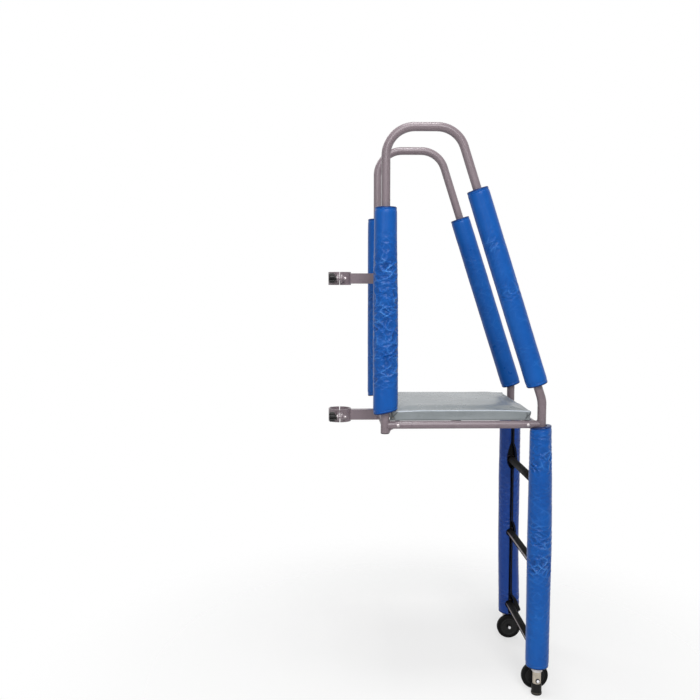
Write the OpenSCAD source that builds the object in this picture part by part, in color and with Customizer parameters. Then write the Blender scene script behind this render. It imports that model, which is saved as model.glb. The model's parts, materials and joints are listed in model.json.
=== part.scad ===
// Volleyball referee stand that clamps to a net post: two bent handrail frames,
// a padded platform, a three-rung ladder with levelling feet and tilt wheels.
// Millimetres, +Z up. The post side is -X, the ladder side is +X, and the floor is Z = 0.

/* [Overall] */
// Height of the handrails above the floor
stand_h = 2109; // [1950:1:2300]
// Distance between the two side frames, tube centre to tube centre
frame_spacing = 495; // [440:1:600]
// Distance from the front uprights to the ladder legs
leg_reach = 574.5; // [540:0.5:640]

/* [Handrail] */
// Outer diameter of the handrail tube
rail_od = 31.75; // [28:0.05:34]
// Wall of the handrail tube
rail_wall = 2.1; // [1.5:0.1:3]
// Centreline radius of every handrail bend
bend_r = 101.6; // [80:0.1:120]
// Straight length at the top of each handrail
top_flat = 80.8; // [40:0.1:120]
// Height of each lower bend's centre above the platform tubes' centres
lower_bend_rise = 71.7; // [50:0.1:120]
// Length of the front uprights below their gussets
upright_drop = 3.2; // [3:0.1:30]

/* [Platform] */
// Height of the platform tubes' centres
platform_h = 1025.5; // [1015:0.5:1040]
// Outer diameter of the platform tubes
deck_tube_od = 28.6; // [25:0.1:30]
// Wall of the platform tubes
deck_tube_wall = 2; // [1.5:0.1:3]
// Distance from the ladder legs to the rear platform tube
rear_tube_inset = 28.5; // [28:0.5:45]
// Radius of the gusset under each front joint
gusset_r = 14; // [8:1:16]
// Thickness of the gusset plates
gusset_t = 5; // [3:0.5:8]

/* [Deck] */
// Thickness of the deck pad at its edges
deck_pad_t = 39; // [30:1:50]
// Rise of the deck pad's middle over its edges
deck_crown = 5; // [0:0.5:10]
// How far the deck pad's sides draw in between its corners
deck_draw_in = 3; // [0:0.5:6]
// Gap from the front uprights' centres to the deck pad
deck_front_gap = 22; // [20:1:40]
// Gap from the ladder legs' centres to the deck pad
deck_rear_gap = 39.5; // [30:0.5:60]
// Thickness of the plywood in the deck pad
board_t = 12; // [9:0.5:18]
// Width of vinyl and foam wrapped round the plywood's edge
board_edge = 5; // [3:0.5:10]
// Thickness of the deck bracket plate
bracket_t = 3; // [2:0.5:5]
// Length of each deck bracket along the rail
bracket_w = 18; // [14:1:22]
// Distance of the front deck bolts from the front uprights
front_bolt_x = 47; // [40:1:80]
// Distance of the rear deck bolts from the ladder legs
rear_bolt_gap = 52.5; // [46:0.5:80]
// Diameter of the deck bolts
deck_bolt_d = 6; // [5:1:8]
// Diameter of the deck bolts' domed heads
deck_bolt_head_d = 12; // [11:0.5:15]
// Diameter of the deck screws
deck_screw_d = 4.5; // [3:0.5:6]

/* [Ladder] */
// Outer diameter of the ladder legs
leg_od = 38.1; // [36:0.1:42]
// Running gap between a ladder leg and the tubes in it
tube_slip = 0.125; // [0.05:0.005:0.3]
// Gap from the side rails down to the ladder legs' upper ends
leg_top_gap = 8.2; // [2:0.1:30]
// Height of the ladder legs' lower ends
leg_end_h = 104; // [100:1:130]
// Length of handrail held inside each ladder leg
leg_overlap = 150; // [80:1:250]
// Height of the lowest rung
first_rung_h = 158; // [150:1:170]
// Distance from rung to rung
rung_pitch = 317.5; // [290:0.5:330]
// Number of rungs
rung_count = 3; // [3:1:3]
// Outer diameter of the rungs
rung_od = 25.4; // [22:0.1:30]
// Wall of the rungs
rung_wall = 2; // [1.5:0.1:3]
// Thickness of the rung grips
grip_t = 2.5; // [1.5:0.1:4]
// Width of the slit along each grip
grip_slit_w = 12; // [2:0.5:16]
// Direction that the slits of the lower two grips face, in degrees up from the ladder side
grip_slit_turn = 188; // [150:1:270]
// Direction that the slit of the upper grip faces, in degrees up from the ladder side
upper_grip_slit_turn = 250; // [150:1:270]
// Diameter of the leg lock buttons
button_d = 8; // [6:0.5:10]

/* [Feet] */
// Height of the nylon collar below each leg
collar_h = 14; // [8:1:18]
// Outer diameter of the nylon collar
collar_od = 40; // [39:0.5:43]
// Height of the rubber tips
tip_h = 43.5; // [35:0.5:46]
// Outer diameter of the rubber tips
tip_od = 40.3; // [38:0.1:44]
// Thickness of rubber under the foot tube
tip_floor = 8; // [5:0.5:15]
// Length of foot tube above the leg's lower end
foot_overlap = 240; // [150:5:400]

/* [Wheels] */
// Wheel diameter
wheel_d = 101.6; // [90:0.1:104]
// Wheel width
wheel_w = 20; // [16:0.5:25]
// Height of the wheel axles
axle_h = 57; // [54:0.5:58]
// Diameter of the wheel axles
axle_d = 10; // [8:1:12]
// Running gap round the wheel axles
axle_slip = 0.05; // [0.02:0.01:0.1]
// Diameter of the wheel hub's rim
hub_rim_d = 74; // [60:1:80]
// Depth of the dish in each face of the wheel hub
hub_dish = 3; // [1:0.5:6]
// Diameter of the ring groove in each face of the wheel hub
hub_groove_d = 48; // [36:1:56]

/* [Post clamps] */
// Diameter of the net post
post_d = 76.2; // [70:0.1:90]
// Distance from the front uprights to the post's axis
post_offset = 162; // [150:1:180]
// Height of the upper clamp
upper_clamp_h = 1560; // [1400:5:1700]
// Height of each clamp
clamp_h = 50; // [40:1:60]
// Thickness of the clamp shells
clamp_t = 6; // [5:0.5:8]
// Gap between the two clamp shells
clamp_split = 3; // [2:0.5:5]
// Thickness of the clamp ears
ear_t = 8; // [6:0.5:10]
// Distance from the post's surface to the clamp screws
screw_offset = 28; // [27:0.5:34]
// Diameter of the clamp screws
screw_d = 10; // [8:1:12]
// Diameter of the clamp knobs
knob_d = 40; // [36:1:42]
// Thickness of the clamp knobs
knob_t = 22; // [16:1:24]
// Number of knob lobes
knob_lobes = 5; // [5:1:7]
// Height of the clamp arms
arm_h = 40; // [30:1:46]
// Width of the clamp arms
arm_w = 30; // [24:1:40]
// Wall of the clamp arms
arm_wall = 3; // [2:0.5:4]

/* [Foam pads] */
// Thickness of foam round the tubes
foam_t = 24.5; // [20:0.5:28]
// Clearance between a pad and what it wraps
foam_gap = 0.3; // [0.3:0.1:1]
// Length of the handrail pads
rail_pad_len = 740; // [600:1:760]
// Height of the front pads' lower ends above the platform tubes' centres
front_pad_rise = 45.5; // [42:0.5:70]
// Straight rail between the near slanted pad and the lower bend
near_pad_slack = 44; // [20:1:60]
// Straight rail between the far slanted pad and the lower bend, less than zero where it covers the bend
far_pad_slack = -20; // [-22:1:40]
// Height of the leg pads' lower ends
leg_pad_h = 110.5; // [110:0.5:125]
// Drop from the platform tubes' centres to the leg pads' upper ends, at the leg's centre
leg_pad_drop = 6.5; // [4:0.5:14]
// Slope of the pad ends that press on the platform, in degrees
pad_end_slope = 8; // [4:0.5:10]
// Depth of the stitched hem at each pad end
hem_h = 12; // [8:1:20]
// How far the hem draws in
hem_draw = 1.2; // [0.6:0.1:4]
// Width of the closure slit in each pad
slit_w = 4; // [2:0.5:6]
// Height of the opening in a pad round each cross tube
eye_h = 86; // [70:1:100]
// Width of the opening in a pad round each cross tube
eye_w = 36; // [34:1:40]

/* [Hidden] */
$fn = 64;
seat = 0.1;
rotary_gap = 0.3;
lap = 3;
swell = 0.3;
half_w = frame_spacing / 2;
rail_r = rail_od / 2;
leg_r = leg_od / 2;
leg_bore_r = rail_r + tube_slip;
rung_r = rung_od / 2;
deck_r = deck_tube_od / 2;
post_r = post_d / 2;
shell_r = post_r + clamp_t;
axle_r = axle_d / 2;
screw_r = screw_d / 2;
axis_h = stand_h - rail_r - swell;
upper_bend_h = axis_h - bend_r;
upper_bend_x = bend_r + top_flat;
lower_bend_x = leg_reach - bend_r;
lower_bend_h = platform_h + lower_bend_rise;
rail_lean = atan2(lower_bend_x - upper_bend_x, upper_bend_h - lower_bend_h);
slope_len = norm([lower_bend_x - upper_bend_x, upper_bend_h - lower_bend_h]);
upright_end_h = platform_h - deck_r - gusset_r - upright_drop;
leg_top_h = platform_h - deck_r - leg_top_gap;
front_pad_h = platform_h + front_pad_rise;
leg_pad_top_h = platform_h - leg_pad_drop;
rear_tube_x = leg_reach - rear_tube_inset;
rear_bolt_x = leg_reach - rear_bolt_gap;
deck_top_h = platform_h + deck_r;
foot_end_h = leg_end_h - collar_h;
knob_seat = clamp_split / 2 + ear_t + 2.5;
knob_boss = 8;
knob_front = knob_seat + knob_boss + knob_t;
screw_y = post_r + screw_offset;
weld_nut_t = 8;
screw_bite = board_t - 3;
x_low = -post_offset - max(shell_r, knob_front);
x_high = leg_reach + max(wheel_d / 2, leg_r + foam_t);
x_shift = -(x_low + x_high) / 2;
spacer_end = 22 - rotary_gap;
hub_start = 22;
nut_start = hub_start + wheel_w + rotary_gap + 1.5;
nut_t = 8;
deck_len = leg_reach - deck_rear_gap - deck_front_gap;
deck_half_y = half_w - 2.5;

// side is -1 for the near frame and +1 for the far one

module at_side(side) { translate([x_shift, side * half_w, 0]) children(); }
module at_middle() { translate([x_shift, 0, 0]) children(); }
module both_sides() { for (side = [-1, 1]) at_side(side) children(); }
// Turns a shape drawn along +Z so that it runs along +Y or +X
module along_y() { rotate([-90, 0, 0]) children(); }
module along_x() { rotate([0, 90, 0]) children(); }

module tube(r, wall, h) {
    difference() {
        cylinder(r = r, h = h);
        translate([0, 0, -1]) cylinder(r = r - wall, h = h + 2);
    }
}

// Handrail frame: one tube bent four times, in the XZ plane

// A bend's tube is this much thicker inside and out than a straight one, and straights lap into it
module arc_tube(r, wall, from, sweep) {
    rotate([90, 0, 0]) rotate([0, 0, from]) rotate_extrude(angle = sweep)
        translate([bend_r, 0]) difference() {
            circle(r = r + swell);
            if (wall > 0) circle(r = r - wall - swell);
        }
}

// A straight tube of length h that runs on into a bend at its lower end, its upper end or both
module straight_run(r, wall, h, lap_low, lap_high) {
    translate([0, 0, -lap_low]) {
        if (wall > 0) tube(r, wall, h + lap_low + lap_high);
        else cylinder(r = r, h = h + lap_low + lap_high);
    }
}

// The handrail's whole run with outer radius r, hollow where wall is above zero
module handrail_run(r, wall, low_front, low_rear) {
    translate([0, 0, low_front]) straight_run(r, wall, upper_bend_h - low_front, 0, lap);
    translate([bend_r, 0, upper_bend_h]) arc_tube(r, wall, 90, 90);
    translate([bend_r, 0, axis_h]) along_x() straight_run(r, wall, top_flat, lap, lap);
    translate([upper_bend_x, 0, upper_bend_h]) arc_tube(r, wall, rail_lean, 90 - rail_lean);
    slope_start() rotate([180, 0, 0]) straight_run(r, wall, slope_len, lap, lap);
    lower_run(r, wall, low_rear);
}

// The lower bend and the straight end that enters the ladder leg
module lower_run(r, wall, low_rear) {
    translate([lower_bend_x, 0, lower_bend_h]) arc_tube(r, wall, 0, rail_lean);
    translate([leg_reach, 0, low_rear]) straight_run(r, wall, lower_bend_h - low_rear, 0, lap);
}

// Places +Z up the slope, at the upper end of the sloping rail
module slope_start() {
    translate([upper_bend_x + bend_r * cos(rail_lean), 0, upper_bend_h + bend_r * sin(rail_lean)])
        rotate([0, -rail_lean, 0]) children();
}

module handrail(side) color("rosybrown") at_side(side) difference() {
    handrail_run(rail_r, rail_wall, upright_end_h + 3, leg_top_h - leg_overlap);
    button_holes(side);
}

module button_holes(side) {
    translate([leg_reach, 0, leg_top_h - leg_overlap / 2])
        along_y() translate([0, 0, side > 0 ? -leg_od : 0]) cylinder(d = button_d + 2 * seat, h = leg_od);
}

module leg_lock_buttons() color("silver") for (side = [-1, 1]) at_side(side)
    translate([leg_reach, 0, leg_top_h - leg_overlap / 2]) intersection() {
        along_y() translate([0, 0, side > 0 ? -leg_r : leg_r - 10]) cylinder(d = button_d, h = 10);
        cylinder(r = leg_r, h = leg_od, center = true);
    }

module upright_plugs() color("dimgray") both_sides() translate([0, 0, upright_end_h]) {
    cylinder(r1 = rail_r - 1, r2 = rail_r, h = 1);
    translate([0, 0, 1]) cylinder(r = rail_r, h = 2);
    translate([0, 0, 3]) cylinder(r = rail_r - rail_wall - seat, h = 14);
}

module upper_crossbar() color("rosybrown") at_middle() translate([0, 0, upper_clamp_h]) difference() {
    translate([0, -half_w, 0]) along_y() tube(rail_r, rail_wall, frame_spacing);
    for (side = [-1, 1]) translate([0, side * half_w, 0])
        cylinder(r = rail_r + seat, h = 3 * rail_od, center = true);
}

// Platform frame

module side_rail(side) color("rosybrown") at_side(side) difference() {
    translate([0, 0, platform_h]) along_x() tube(deck_r, deck_tube_wall, leg_reach);
    translate([0, 0, platform_h]) cylinder(r = rail_r + seat, h = 3 * rail_od, center = true);
    translate([leg_reach, 0, platform_h]) cylinder(r = rail_r + seat, h = 3 * rail_od, center = true);
    for (x = [front_bolt_x, rear_bolt_x]) translate([x, 0, platform_h])
        along_y() cylinder(d = deck_bolt_d + 2 * seat, h = 2 * deck_tube_od, center = true);
}

// A tube that runs from one side rail to the other, with coped ends
module platform_tube(x) color("rosybrown") at_middle() difference() {
    translate([x, -half_w, platform_h]) along_y() tube(deck_r, deck_tube_wall, frame_spacing);
    for (side = [-1, 1]) translate([0, side * half_w, platform_h]) {
        translate([-rail_od, 0, 0]) along_x() cylinder(r = deck_r + seat, h = leg_reach + 2 * rail_od);
        for (corner = [0, leg_reach]) translate([corner, 0, 0])
            cylinder(r = rail_r + seat, h = 3 * rail_od, center = true);
    }
}

module corner_gussets() color("rosybrown") both_sides()
    translate([rail_r + seat, gusset_t / 2, platform_h - deck_r - seat - gusset_r]) rotate([90, 0, 0])
        linear_extrude(gusset_t) difference() {
            square(gusset_r);
            translate([gusset_r, 0]) circle(r = gusset_r - 1.5);
        }

// Deck: plywood board wrapped in foam and vinyl, held by four brackets

module deck_board() color("burlywood") difference() {
    at_middle() translate([deck_front_gap + board_edge, -deck_half_y + board_edge, deck_top_h + rotary_gap])
        cube([deck_len - 2 * board_edge, 2 * (deck_half_y - board_edge), board_t]);
    at_deck_screws() cylinder(d = deck_screw_d + 2 * seat, h = bracket_t + screw_bite + 1);
}

// One ring of the pad: four sides that draw in between their corners
function pad_ring(inset, z, drop, m) = let (hx = deck_len / 2 - inset, hy = deck_half_y - inset)
    [for (k = [0:3]) for (j = [0:m - 1]) let (
        s = -1 + 2 * j / m,
        pull = deck_draw_in * (1 - s * s),
        edge = (k % 2 == 0 ? hx : hy) - pull,
        run = (k % 2 == 0 ? hy : hx) * s,
        turn = 90 * k)
        [edge * cos(turn) - run * sin(turn), edge * sin(turn) + run * cos(turn), z - drop * pow(abs(s), 6)]];

// Inset, height as a share of the edge thickness, rise as a share of the crown, and corner drop
pad_profile = [[1.5, 0, 0, 0], [0, 0.08, 0, 0], [-0.5, 0.35, 0, 0], [0, 0.7, 0, 0], [2, 0.88, 0, 0],
    [6, 0.97, 0.02, 0.5], [14, 1, 0.14, 1], [34, 1, 0.42, 1], [70, 1, 0.7, 0.6], [120, 1, 0.9, 0.2],
    [190, 1, 1, 0]];

module deck_pad() color("lightslategray") at_middle() difference() {
    m = 14;
    n = 4 * m;
    rings = len(pad_profile);
    points = [for (p = pad_profile)
        each pad_ring(p[0], deck_pad_t * p[1] + deck_crown * p[2], 4 * p[3], m)];
    walls = [for (r = [0:rings - 2]) for (i = [0:n - 1]) let (a = r * n + i, b = r * n + (i + 1) % n)
        each [[a, b + n, b], [a, a + n, b + n]]];
    translate([deck_front_gap + deck_len / 2, 0, deck_top_h + rotary_gap])
        polyhedron(points, concat([[for (i = [0:n - 1]) i]], walls,
            [[for (i = [n - 1:-1:0]) (rings - 1) * n + i]]));
    translate([deck_front_gap + board_edge - rotary_gap,
               -deck_half_y + board_edge - rotary_gap, deck_top_h - 1])
        cube([deck_len - 2 * (board_edge - rotary_gap), 2 * (deck_half_y - board_edge + rotary_gap),
            board_t + 2 * rotary_gap + 1]);
}

// Bracket corners measured from the inner face of the side rail
module deck_bracket() {
    tall = deck_top_h - platform_h + 10;
    reach = 26;
    difference() {
        union() {
            translate([-bracket_w / 2, 0, -tall]) cube([bracket_w, bracket_t, tall]);
            translate([-bracket_w / 2, 0, -bracket_t]) cube([bracket_w, reach, bracket_t]);
        }
        translate([0, -1, -(deck_top_h - platform_h)]) along_y()
            cylinder(d = deck_bolt_d + 2 * seat, h = bracket_t + 2);
        translate([0, reach - 9, -bracket_t - 1]) cylinder(d = deck_screw_d + 2 * seat, h = bracket_t + 2);
    }
}

module at_deck_bolts() {
    for (side = [-1, 1]) at_side(side) for (x = [front_bolt_x, rear_bolt_x])
        translate([x, 0, 0]) mirror([0, side > 0 ? 1 : 0, 0]) children();
}

module deck_brackets() color("silver") at_deck_bolts()
    translate([0, deck_r + seat, deck_top_h + seat]) deck_bracket();

module deck_bolts() color("gainsboro") at_deck_bolts() translate([0, 0, platform_h]) {
    translate([0, -deck_r - 0.5, 0]) along_y() cylinder(d = deck_bolt_d, h = deck_tube_od + bracket_t + 8);
    translate([0, -deck_r - 0.5, 0]) rotate([90, 0, 0]) intersection() {
        cylinder(d = deck_bolt_head_d, h = 4);
        translate([0, 0, 4 - deck_bolt_head_d]) sphere(r = deck_bolt_head_d);
    }
    translate([0, deck_r + bracket_t + 2 * seat, 0]) along_y() cylinder(d = deck_bolt_d + 5, h = 5, $fn = 6);
}

module at_deck_screws() {
    at_deck_bolts() translate([0, deck_r + seat + 17, deck_top_h + seat - bracket_t]) children();
}

module deck_screws() color("silver") at_deck_screws() {
    translate([0, 0, -2]) cylinder(d = 2 * deck_screw_d, h = 1.95);
    translate([0, 0, -0.5]) cylinder(d = deck_screw_d, h = bracket_t + screw_bite + 0.5);
}

// Ladder

module ladder_leg(side) color("rosybrown") at_side(side) difference() {
    translate([leg_reach, 0, leg_end_h]) cylinder(r = leg_r, h = leg_top_h - leg_end_h);
    translate([leg_reach, 0, leg_end_h - 1]) cylinder(r = leg_bore_r, h = leg_top_h - leg_end_h + 2);
    button_holes(side);
}

function rung_h(i) = first_rung_h + i * rung_pitch;

module rung(i) color("rosybrown") at_middle() difference() {
    translate([leg_reach, -half_w, rung_h(i)]) along_y() tube(rung_r, rung_wall, frame_spacing);
    for (side = [-1, 1]) translate([leg_reach, side * half_w, rung_h(i)])
        cylinder(r = leg_r + seat, h = 2 * rung_od, center = true);
}

// A ribbed rubber sleeve, slit along its length so that it snaps over the rung
module rung_grip(i) color("black") at_middle() translate([leg_reach, 0, rung_h(i)]) {
    half = half_w - leg_r - 4;
    turn = i == rung_count - 1 ? upper_grip_slit_turn : grip_slit_turn;
    rotate([90, 0, 0]) linear_extrude(2 * half, center = true) {
        difference() {
            circle(r = rung_r + grip_t);
            circle(r = rung_r + seat);
            rotate(turn) translate([0, -grip_slit_w / 2]) square([2 * rung_r, grip_slit_w]);
        }
        for (k = [-4:4]) rotate(12 * k) translate([-0.8, rung_r + grip_t - 0.4]) square([1.6, 1.2]);
    }
}

// Feet: collar, sliding tube, rubber tip

module at_leg(side) { at_side(side) translate([leg_reach, 0, 0]) children(); }

module leg_collar(side) color("whitesmoke") at_leg(side) difference() {
    union() {
        translate([0, 0, foot_end_h]) cylinder(d1 = collar_od - 2, d2 = collar_od, h = 1.5);
        translate([0, 0, foot_end_h + 1.5]) cylinder(d = collar_od, h = collar_h + 3.5);
    }
    translate([0, 0, foot_end_h - 1]) cylinder(r = rail_r + axle_slip, h = collar_h + 10);
    translate([0, 0, leg_end_h]) cylinder(r = leg_r + 0.05, h = 10);
}

module foot_tube(side) color("tan") at_leg(side) difference() {
    translate([0, 0, tip_floor]) tube(rail_r, rail_wall, leg_end_h + foot_overlap - tip_floor);
    translate([0, 0, axle_h]) along_y() cylinder(r = axle_r + seat, h = 2 * rail_od, center = true);
}

module foot_tip(side) color("black") at_leg(side) difference() {
    rotate_extrude() polygon([[0, 0], [tip_od / 2 - 4, 0], [tip_od / 2 - 1.2, 1], [tip_od / 2, 4],
        [tip_od / 2, 9], [tip_od / 2 - 1.3, 12], [tip_od / 2 - 1.3, tip_h - 3],
        [tip_od / 2 - 2, tip_h], [0, tip_h]]);
    translate([0, 0, tip_floor]) cylinder(r = rail_r + seat, h = tip_h);
}

// Along an axle that runs inwards from the leg's centre
module at_axle(side) {
    at_leg(side) translate([0, 0, axle_h]) mirror([0, side > 0 ? 1 : 0, 0]) along_y() children();
}

module axle_bolt(side) color("silver") at_axle(side) {
    translate([0, 0, -rail_r - 0.2]) cylinder(r = axle_r, h = rail_r + nut_start + nut_t + 2);
    translate([0, 0, -rail_r - 0.2]) mirror([0, 0, 1]) {
        cylinder(d = 1.7 * axle_d, h = 1.5);
        intersection() {
            cylinder(d = 1.45 * axle_d, h = 6.5, $fn = 6);
            translate([0, 0, 6.5 - 1.2 * axle_d]) sphere(r = 1.2 * axle_d);
        }
    }
    translate([0, 0, nut_start]) intersection() {
        cylinder(d = 1.7 * axle_d, h = nut_t, $fn = 6);
        translate([0, 0, nut_t - 1.2 * axle_d]) sphere(r = 1.2 * axle_d);
    }
    translate([0, 0, nut_start - 1.4]) cylinder(d = 1.7 * axle_d, h = 1.4);
}

module axle_spacer(side) color("silver") at_axle(side) difference() {
    translate([0, 0, rail_r - 2.5]) cylinder(r = axle_r + 3, h = spacer_end - rail_r + 2.5);
    translate([0, 0, -1]) cylinder(r = axle_r + seat, h = wheel_d);
    rotate([90, 0, 0]) cylinder(r = rail_r + seat, h = wheel_d, center = true);
}

// Wheels: dished hub with a rubber tyre

// Half of the hub's outline, from the axle's centre out, as it lies on the face at height 0
function hub_face() = [[0, hub_dish], [hub_groove_d / 2 - 1, hub_dish], [hub_groove_d / 2 - 1, hub_dish + 1],
    [hub_groove_d / 2 + 1, hub_dish + 1], [hub_groove_d / 2 + 1, hub_dish], [hub_rim_d / 2 - 6, hub_dish],
    [hub_rim_d / 2 - 4, 1], [hub_rim_d / 2, 1]];

module wheel_hub(side) color("dimgray") at_axle(side) translate([0, 0, hub_start]) difference() {
    union() {
        cylinder(r = axle_r + 6, h = wheel_w);
        rotate_extrude() polygon(concat(hub_face(),
            [for (i = [len(hub_face()) - 1:-1:0]) [hub_face()[i][0], wheel_w - hub_face()[i][1]]]));
    }
    translate([0, 0, -1]) cylinder(r = axle_r + axle_slip, h = wheel_w + 2);
}

module wheel_tyre(side) color("black") at_axle(side) translate([0, 0, hub_start]) rotate_extrude($fn = 96)
    polygon([[hub_rim_d / 2, 0.5], [hub_rim_d / 2 + 2, 0], [wheel_d / 2 - 5, 0], [wheel_d / 2 - 1.6, 1.5],
        [wheel_d / 2, 5], [wheel_d / 2, wheel_w - 5], [wheel_d / 2 - 1.6, wheel_w - 1.5],
        [wheel_d / 2 - 5, wheel_w], [hub_rim_d / 2 + 2, wheel_w], [hub_rim_d / 2, wheel_w - 0.5]]);

// Post clamps. Each is drawn about the post's axis, at the height of its middle

module at_clamp(z) { at_middle() translate([-post_offset, 0, z]) children(); }

// Half a clamp on the side that dir points to: +1 for the saddle and -1 for the cap
module clamp_shell(dir, hole_r) difference() {
    union() {
        cylinder(r = shell_r, h = clamp_h, center = true);
        for (y = [-1, 1]) {
            translate([dir > 0 ? 0 : -ear_t - clamp_split / 2, y > 0 ? post_r : -screw_y, -16])
                cube([ear_t + clamp_split / 2, screw_y - post_r, 32]);
            translate([dir > 0 ? 0 : -ear_t - clamp_split / 2, y * screw_y, 0]) along_x()
                cylinder(r = 16, h = ear_t + clamp_split / 2);
        }
    }
    cylinder(r = post_r, h = clamp_h + 2, center = true);
    translate([dir > 0 ? -2 * screw_y : -clamp_split / 2, -2 * screw_y, -clamp_h])
        cube([2 * screw_y + clamp_split / 2, 4 * screw_y, 2 * clamp_h]);
    for (y = [-1, 1]) translate([0, y * screw_y, 0])
        along_x() cylinder(r = hole_r, h = 4 * ear_t, center = true);
}

module clamp_saddle(z) color("rosybrown") at_clamp(z) {
    clamp_shell(1, screw_r + axle_slip);
    for (y = [-1, 1]) translate([clamp_split / 2 + ear_t, y * screw_y, 0]) along_x() difference() {
        cylinder(d = 1.9 * screw_d, h = weld_nut_t, $fn = 6);
        translate([0, 0, -1]) cylinder(r = screw_r + axle_slip, h = weld_nut_t + 2);
    }
}

module clamp_cap(z) color("rosybrown") at_clamp(z) clamp_shell(-1, screw_r + 0.6);

module clamp_screw(z, side) color("silver") at_clamp(z) translate([0, side * screw_y, 0]) {
    translate([-knob_front + 6, 0, 0]) along_x()
        cylinder(r = screw_r, h = knob_front - 6 + ear_t + weld_nut_t + 8);
    translate([-knob_seat + 0.4, 0, 0]) along_x() difference() {
        cylinder(r = screw_r + 6, h = 1.8);
        translate([0, 0, -1]) cylinder(r = screw_r, h = 4);
    }
}

module clamp_knob(z, side) color("black") at_clamp(z) translate([-knob_seat, side * screw_y, 0])
    rotate([0, -90, 0]) difference() {
        union() {
            cylinder(r = screw_r + 5, h = knob_boss + 1);
            translate([0, 0, knob_boss]) intersection() {
                union() {
                    cylinder(r = 0.62 * knob_d / 2, h = knob_t);
                    for (k = [0:knob_lobes - 1]) rotate(360 / knob_lobes * k)
                        translate([0.66 * knob_d / 2, 0, 0]) cylinder(r = 0.34 * knob_d / 2, h = knob_t);
                }
                rotate_extrude() polygon([[0, 0], [knob_d / 2 - 2, 0], [knob_d / 2, 2],
                    [knob_d / 2, knob_t - 6], [knob_d / 2 - 2, knob_t - 2.5],
                    [knob_d / 2 - 7, knob_t], [0, knob_t]]);
            }
        }
        translate([0, 0, -1]) cylinder(r = screw_r, h = knob_front - knob_seat - 5);
    }

// A box tube from a cross tube of radius r to the clamp saddle
module clamp_arm(z, r) color("rosybrown") at_middle() translate([0, 0, z]) difference() {
    translate([-post_offset, -arm_w / 2, -arm_h / 2]) cube([post_offset, arm_w, arm_h]);
    translate([-post_offset - 1, -arm_w / 2 + arm_wall, -arm_h / 2 + arm_wall])
        cube([post_offset + 2, arm_w - 2 * arm_wall, arm_h - 2 * arm_wall]);
    translate([-post_offset, 0, 0]) cylinder(r = shell_r + seat, h = 2 * clamp_h, center = true);
    translate([0, 0, 0]) along_y() cylinder(r = r + seat, h = 2 * arm_w, center = true);
    translate([-0.4 * r, -arm_w, -arm_h]) cube([post_offset, 2 * arm_w, 2 * arm_h]);
}

// Foam pads: split sleeves with a stitched hem at each end

// A sleeve along +Z, with rounded hems drawn in at its ends
module foam_sleeve(r, len) rotate_extrude() polygon([[0, 0], [r - hem_draw - 2, 0], [r - hem_draw - 0.6, 0.7],
    [r - hem_draw, 2.5], [r - hem_draw, hem_h - 2], [r - 0.4 * hem_draw, hem_h], [r, hem_h + 4],
    [r, len - hem_h - 4], [r - 0.4 * hem_draw, len - hem_h], [r - hem_draw, len - hem_h + 2],
    [r - hem_draw, len - 2.5], [r - hem_draw - 0.6, len - 0.7], [r - hem_draw - 2, len], [0, len]]);

// The closure slit, which faces +X before it is turned
module slit(r, len, turn) {
    rotate([0, 0, turn]) translate([0, -slit_w / 2, -1]) cube([2 * r, slit_w, len + 2]);
}

module front_pad(side) color("royalblue") at_side(side) {
    r = rail_r + foam_t;
    difference() {
        translate([0, 0, front_pad_h]) foam_sleeve(r, rail_pad_len);
        translate([0, 0, front_pad_h - 1]) cylinder(r = rail_r + foam_gap, h = rail_pad_len + 2);
        translate([0, 0, front_pad_h]) slit(r, rail_pad_len, -90 * side);
        translate([0, 0, front_pad_h + 5]) rotate([0, -pad_end_slope, 0])
            translate([-3 * r, -2 * r, -2 * r]) cube([6 * r, 4 * r, 2 * r]);
        translate([0, 0, upper_clamp_h]) tube_eye(side, r + 1, eye_h, eye_w);
        translate([deck_front_gap - 0.5, -2 * r, deck_top_h])
            cube([2 * r, 4 * r, deck_pad_t + rotary_gap + 0.5]);
    }
}

module slant_pad(side, slack) color("royalblue") at_side(side) {
    r = rail_r + foam_t;
    difference() {
        slope_start() translate([0, 0, -slope_len + slack]) difference() {
            foam_sleeve(r, rail_pad_len);
            slit(r, rail_pad_len, 180);
        }
        slope_start() translate([0, 0, -slope_len - 2]) cylinder(r = rail_r + foam_gap, h = slope_len + 3);
        lower_run(rail_r + foam_gap + 0.2, 0, leg_top_h);
    }
}

// A lens-shaped opening h tall and w wide where a cross tube enters a pad
module tube_eye(side, reach, h, w) {
    r = (h * h + w * w) / (4 * w);
    rotate([90, 0, 0]) translate([0, 0, side > 0 ? 0 : -reach]) linear_extrude(reach)
        intersection_for(dir = [-1, 1]) translate([dir * (r - w / 2), 0]) circle(r = r, $fn = 96);
}

module leg_pad(side) color("royalblue") at_leg(side) {
    r = leg_r + foam_t;
    difference() {
        translate([0, 0, leg_pad_h])
            foam_sleeve(r, leg_pad_top_h - leg_pad_h + r * tan(pad_end_slope) + hem_h);
        translate([0, 0, leg_pad_h - 1]) cylinder(r = leg_r + foam_gap, h = stand_h);
        translate([0, 0, leg_pad_h]) slit(r, leg_pad_top_h, -90 * side);
        translate([0, 0, leg_pad_top_h]) rotate([0, -pad_end_slope, 0]) translate([-2 * r, -2 * r, 0])
            cube([4 * r, 4 * r, 4 * r]);
        for (i = [0:rung_count - 1]) translate([0, 0, rung_h(i)]) tube_eye(side, r + 1, eye_h, eye_w);
        translate([-leg_reach, 0, platform_h]) along_x() cylinder(r = deck_r + 0.5, h = leg_reach);
        translate([-rear_tube_inset, 0, platform_h]) along_y()
            translate([0, 0, side > 0 ? -frame_spacing : 0]) cylinder(r = deck_r + 0.5, h = frame_spacing);
    }
}

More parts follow.
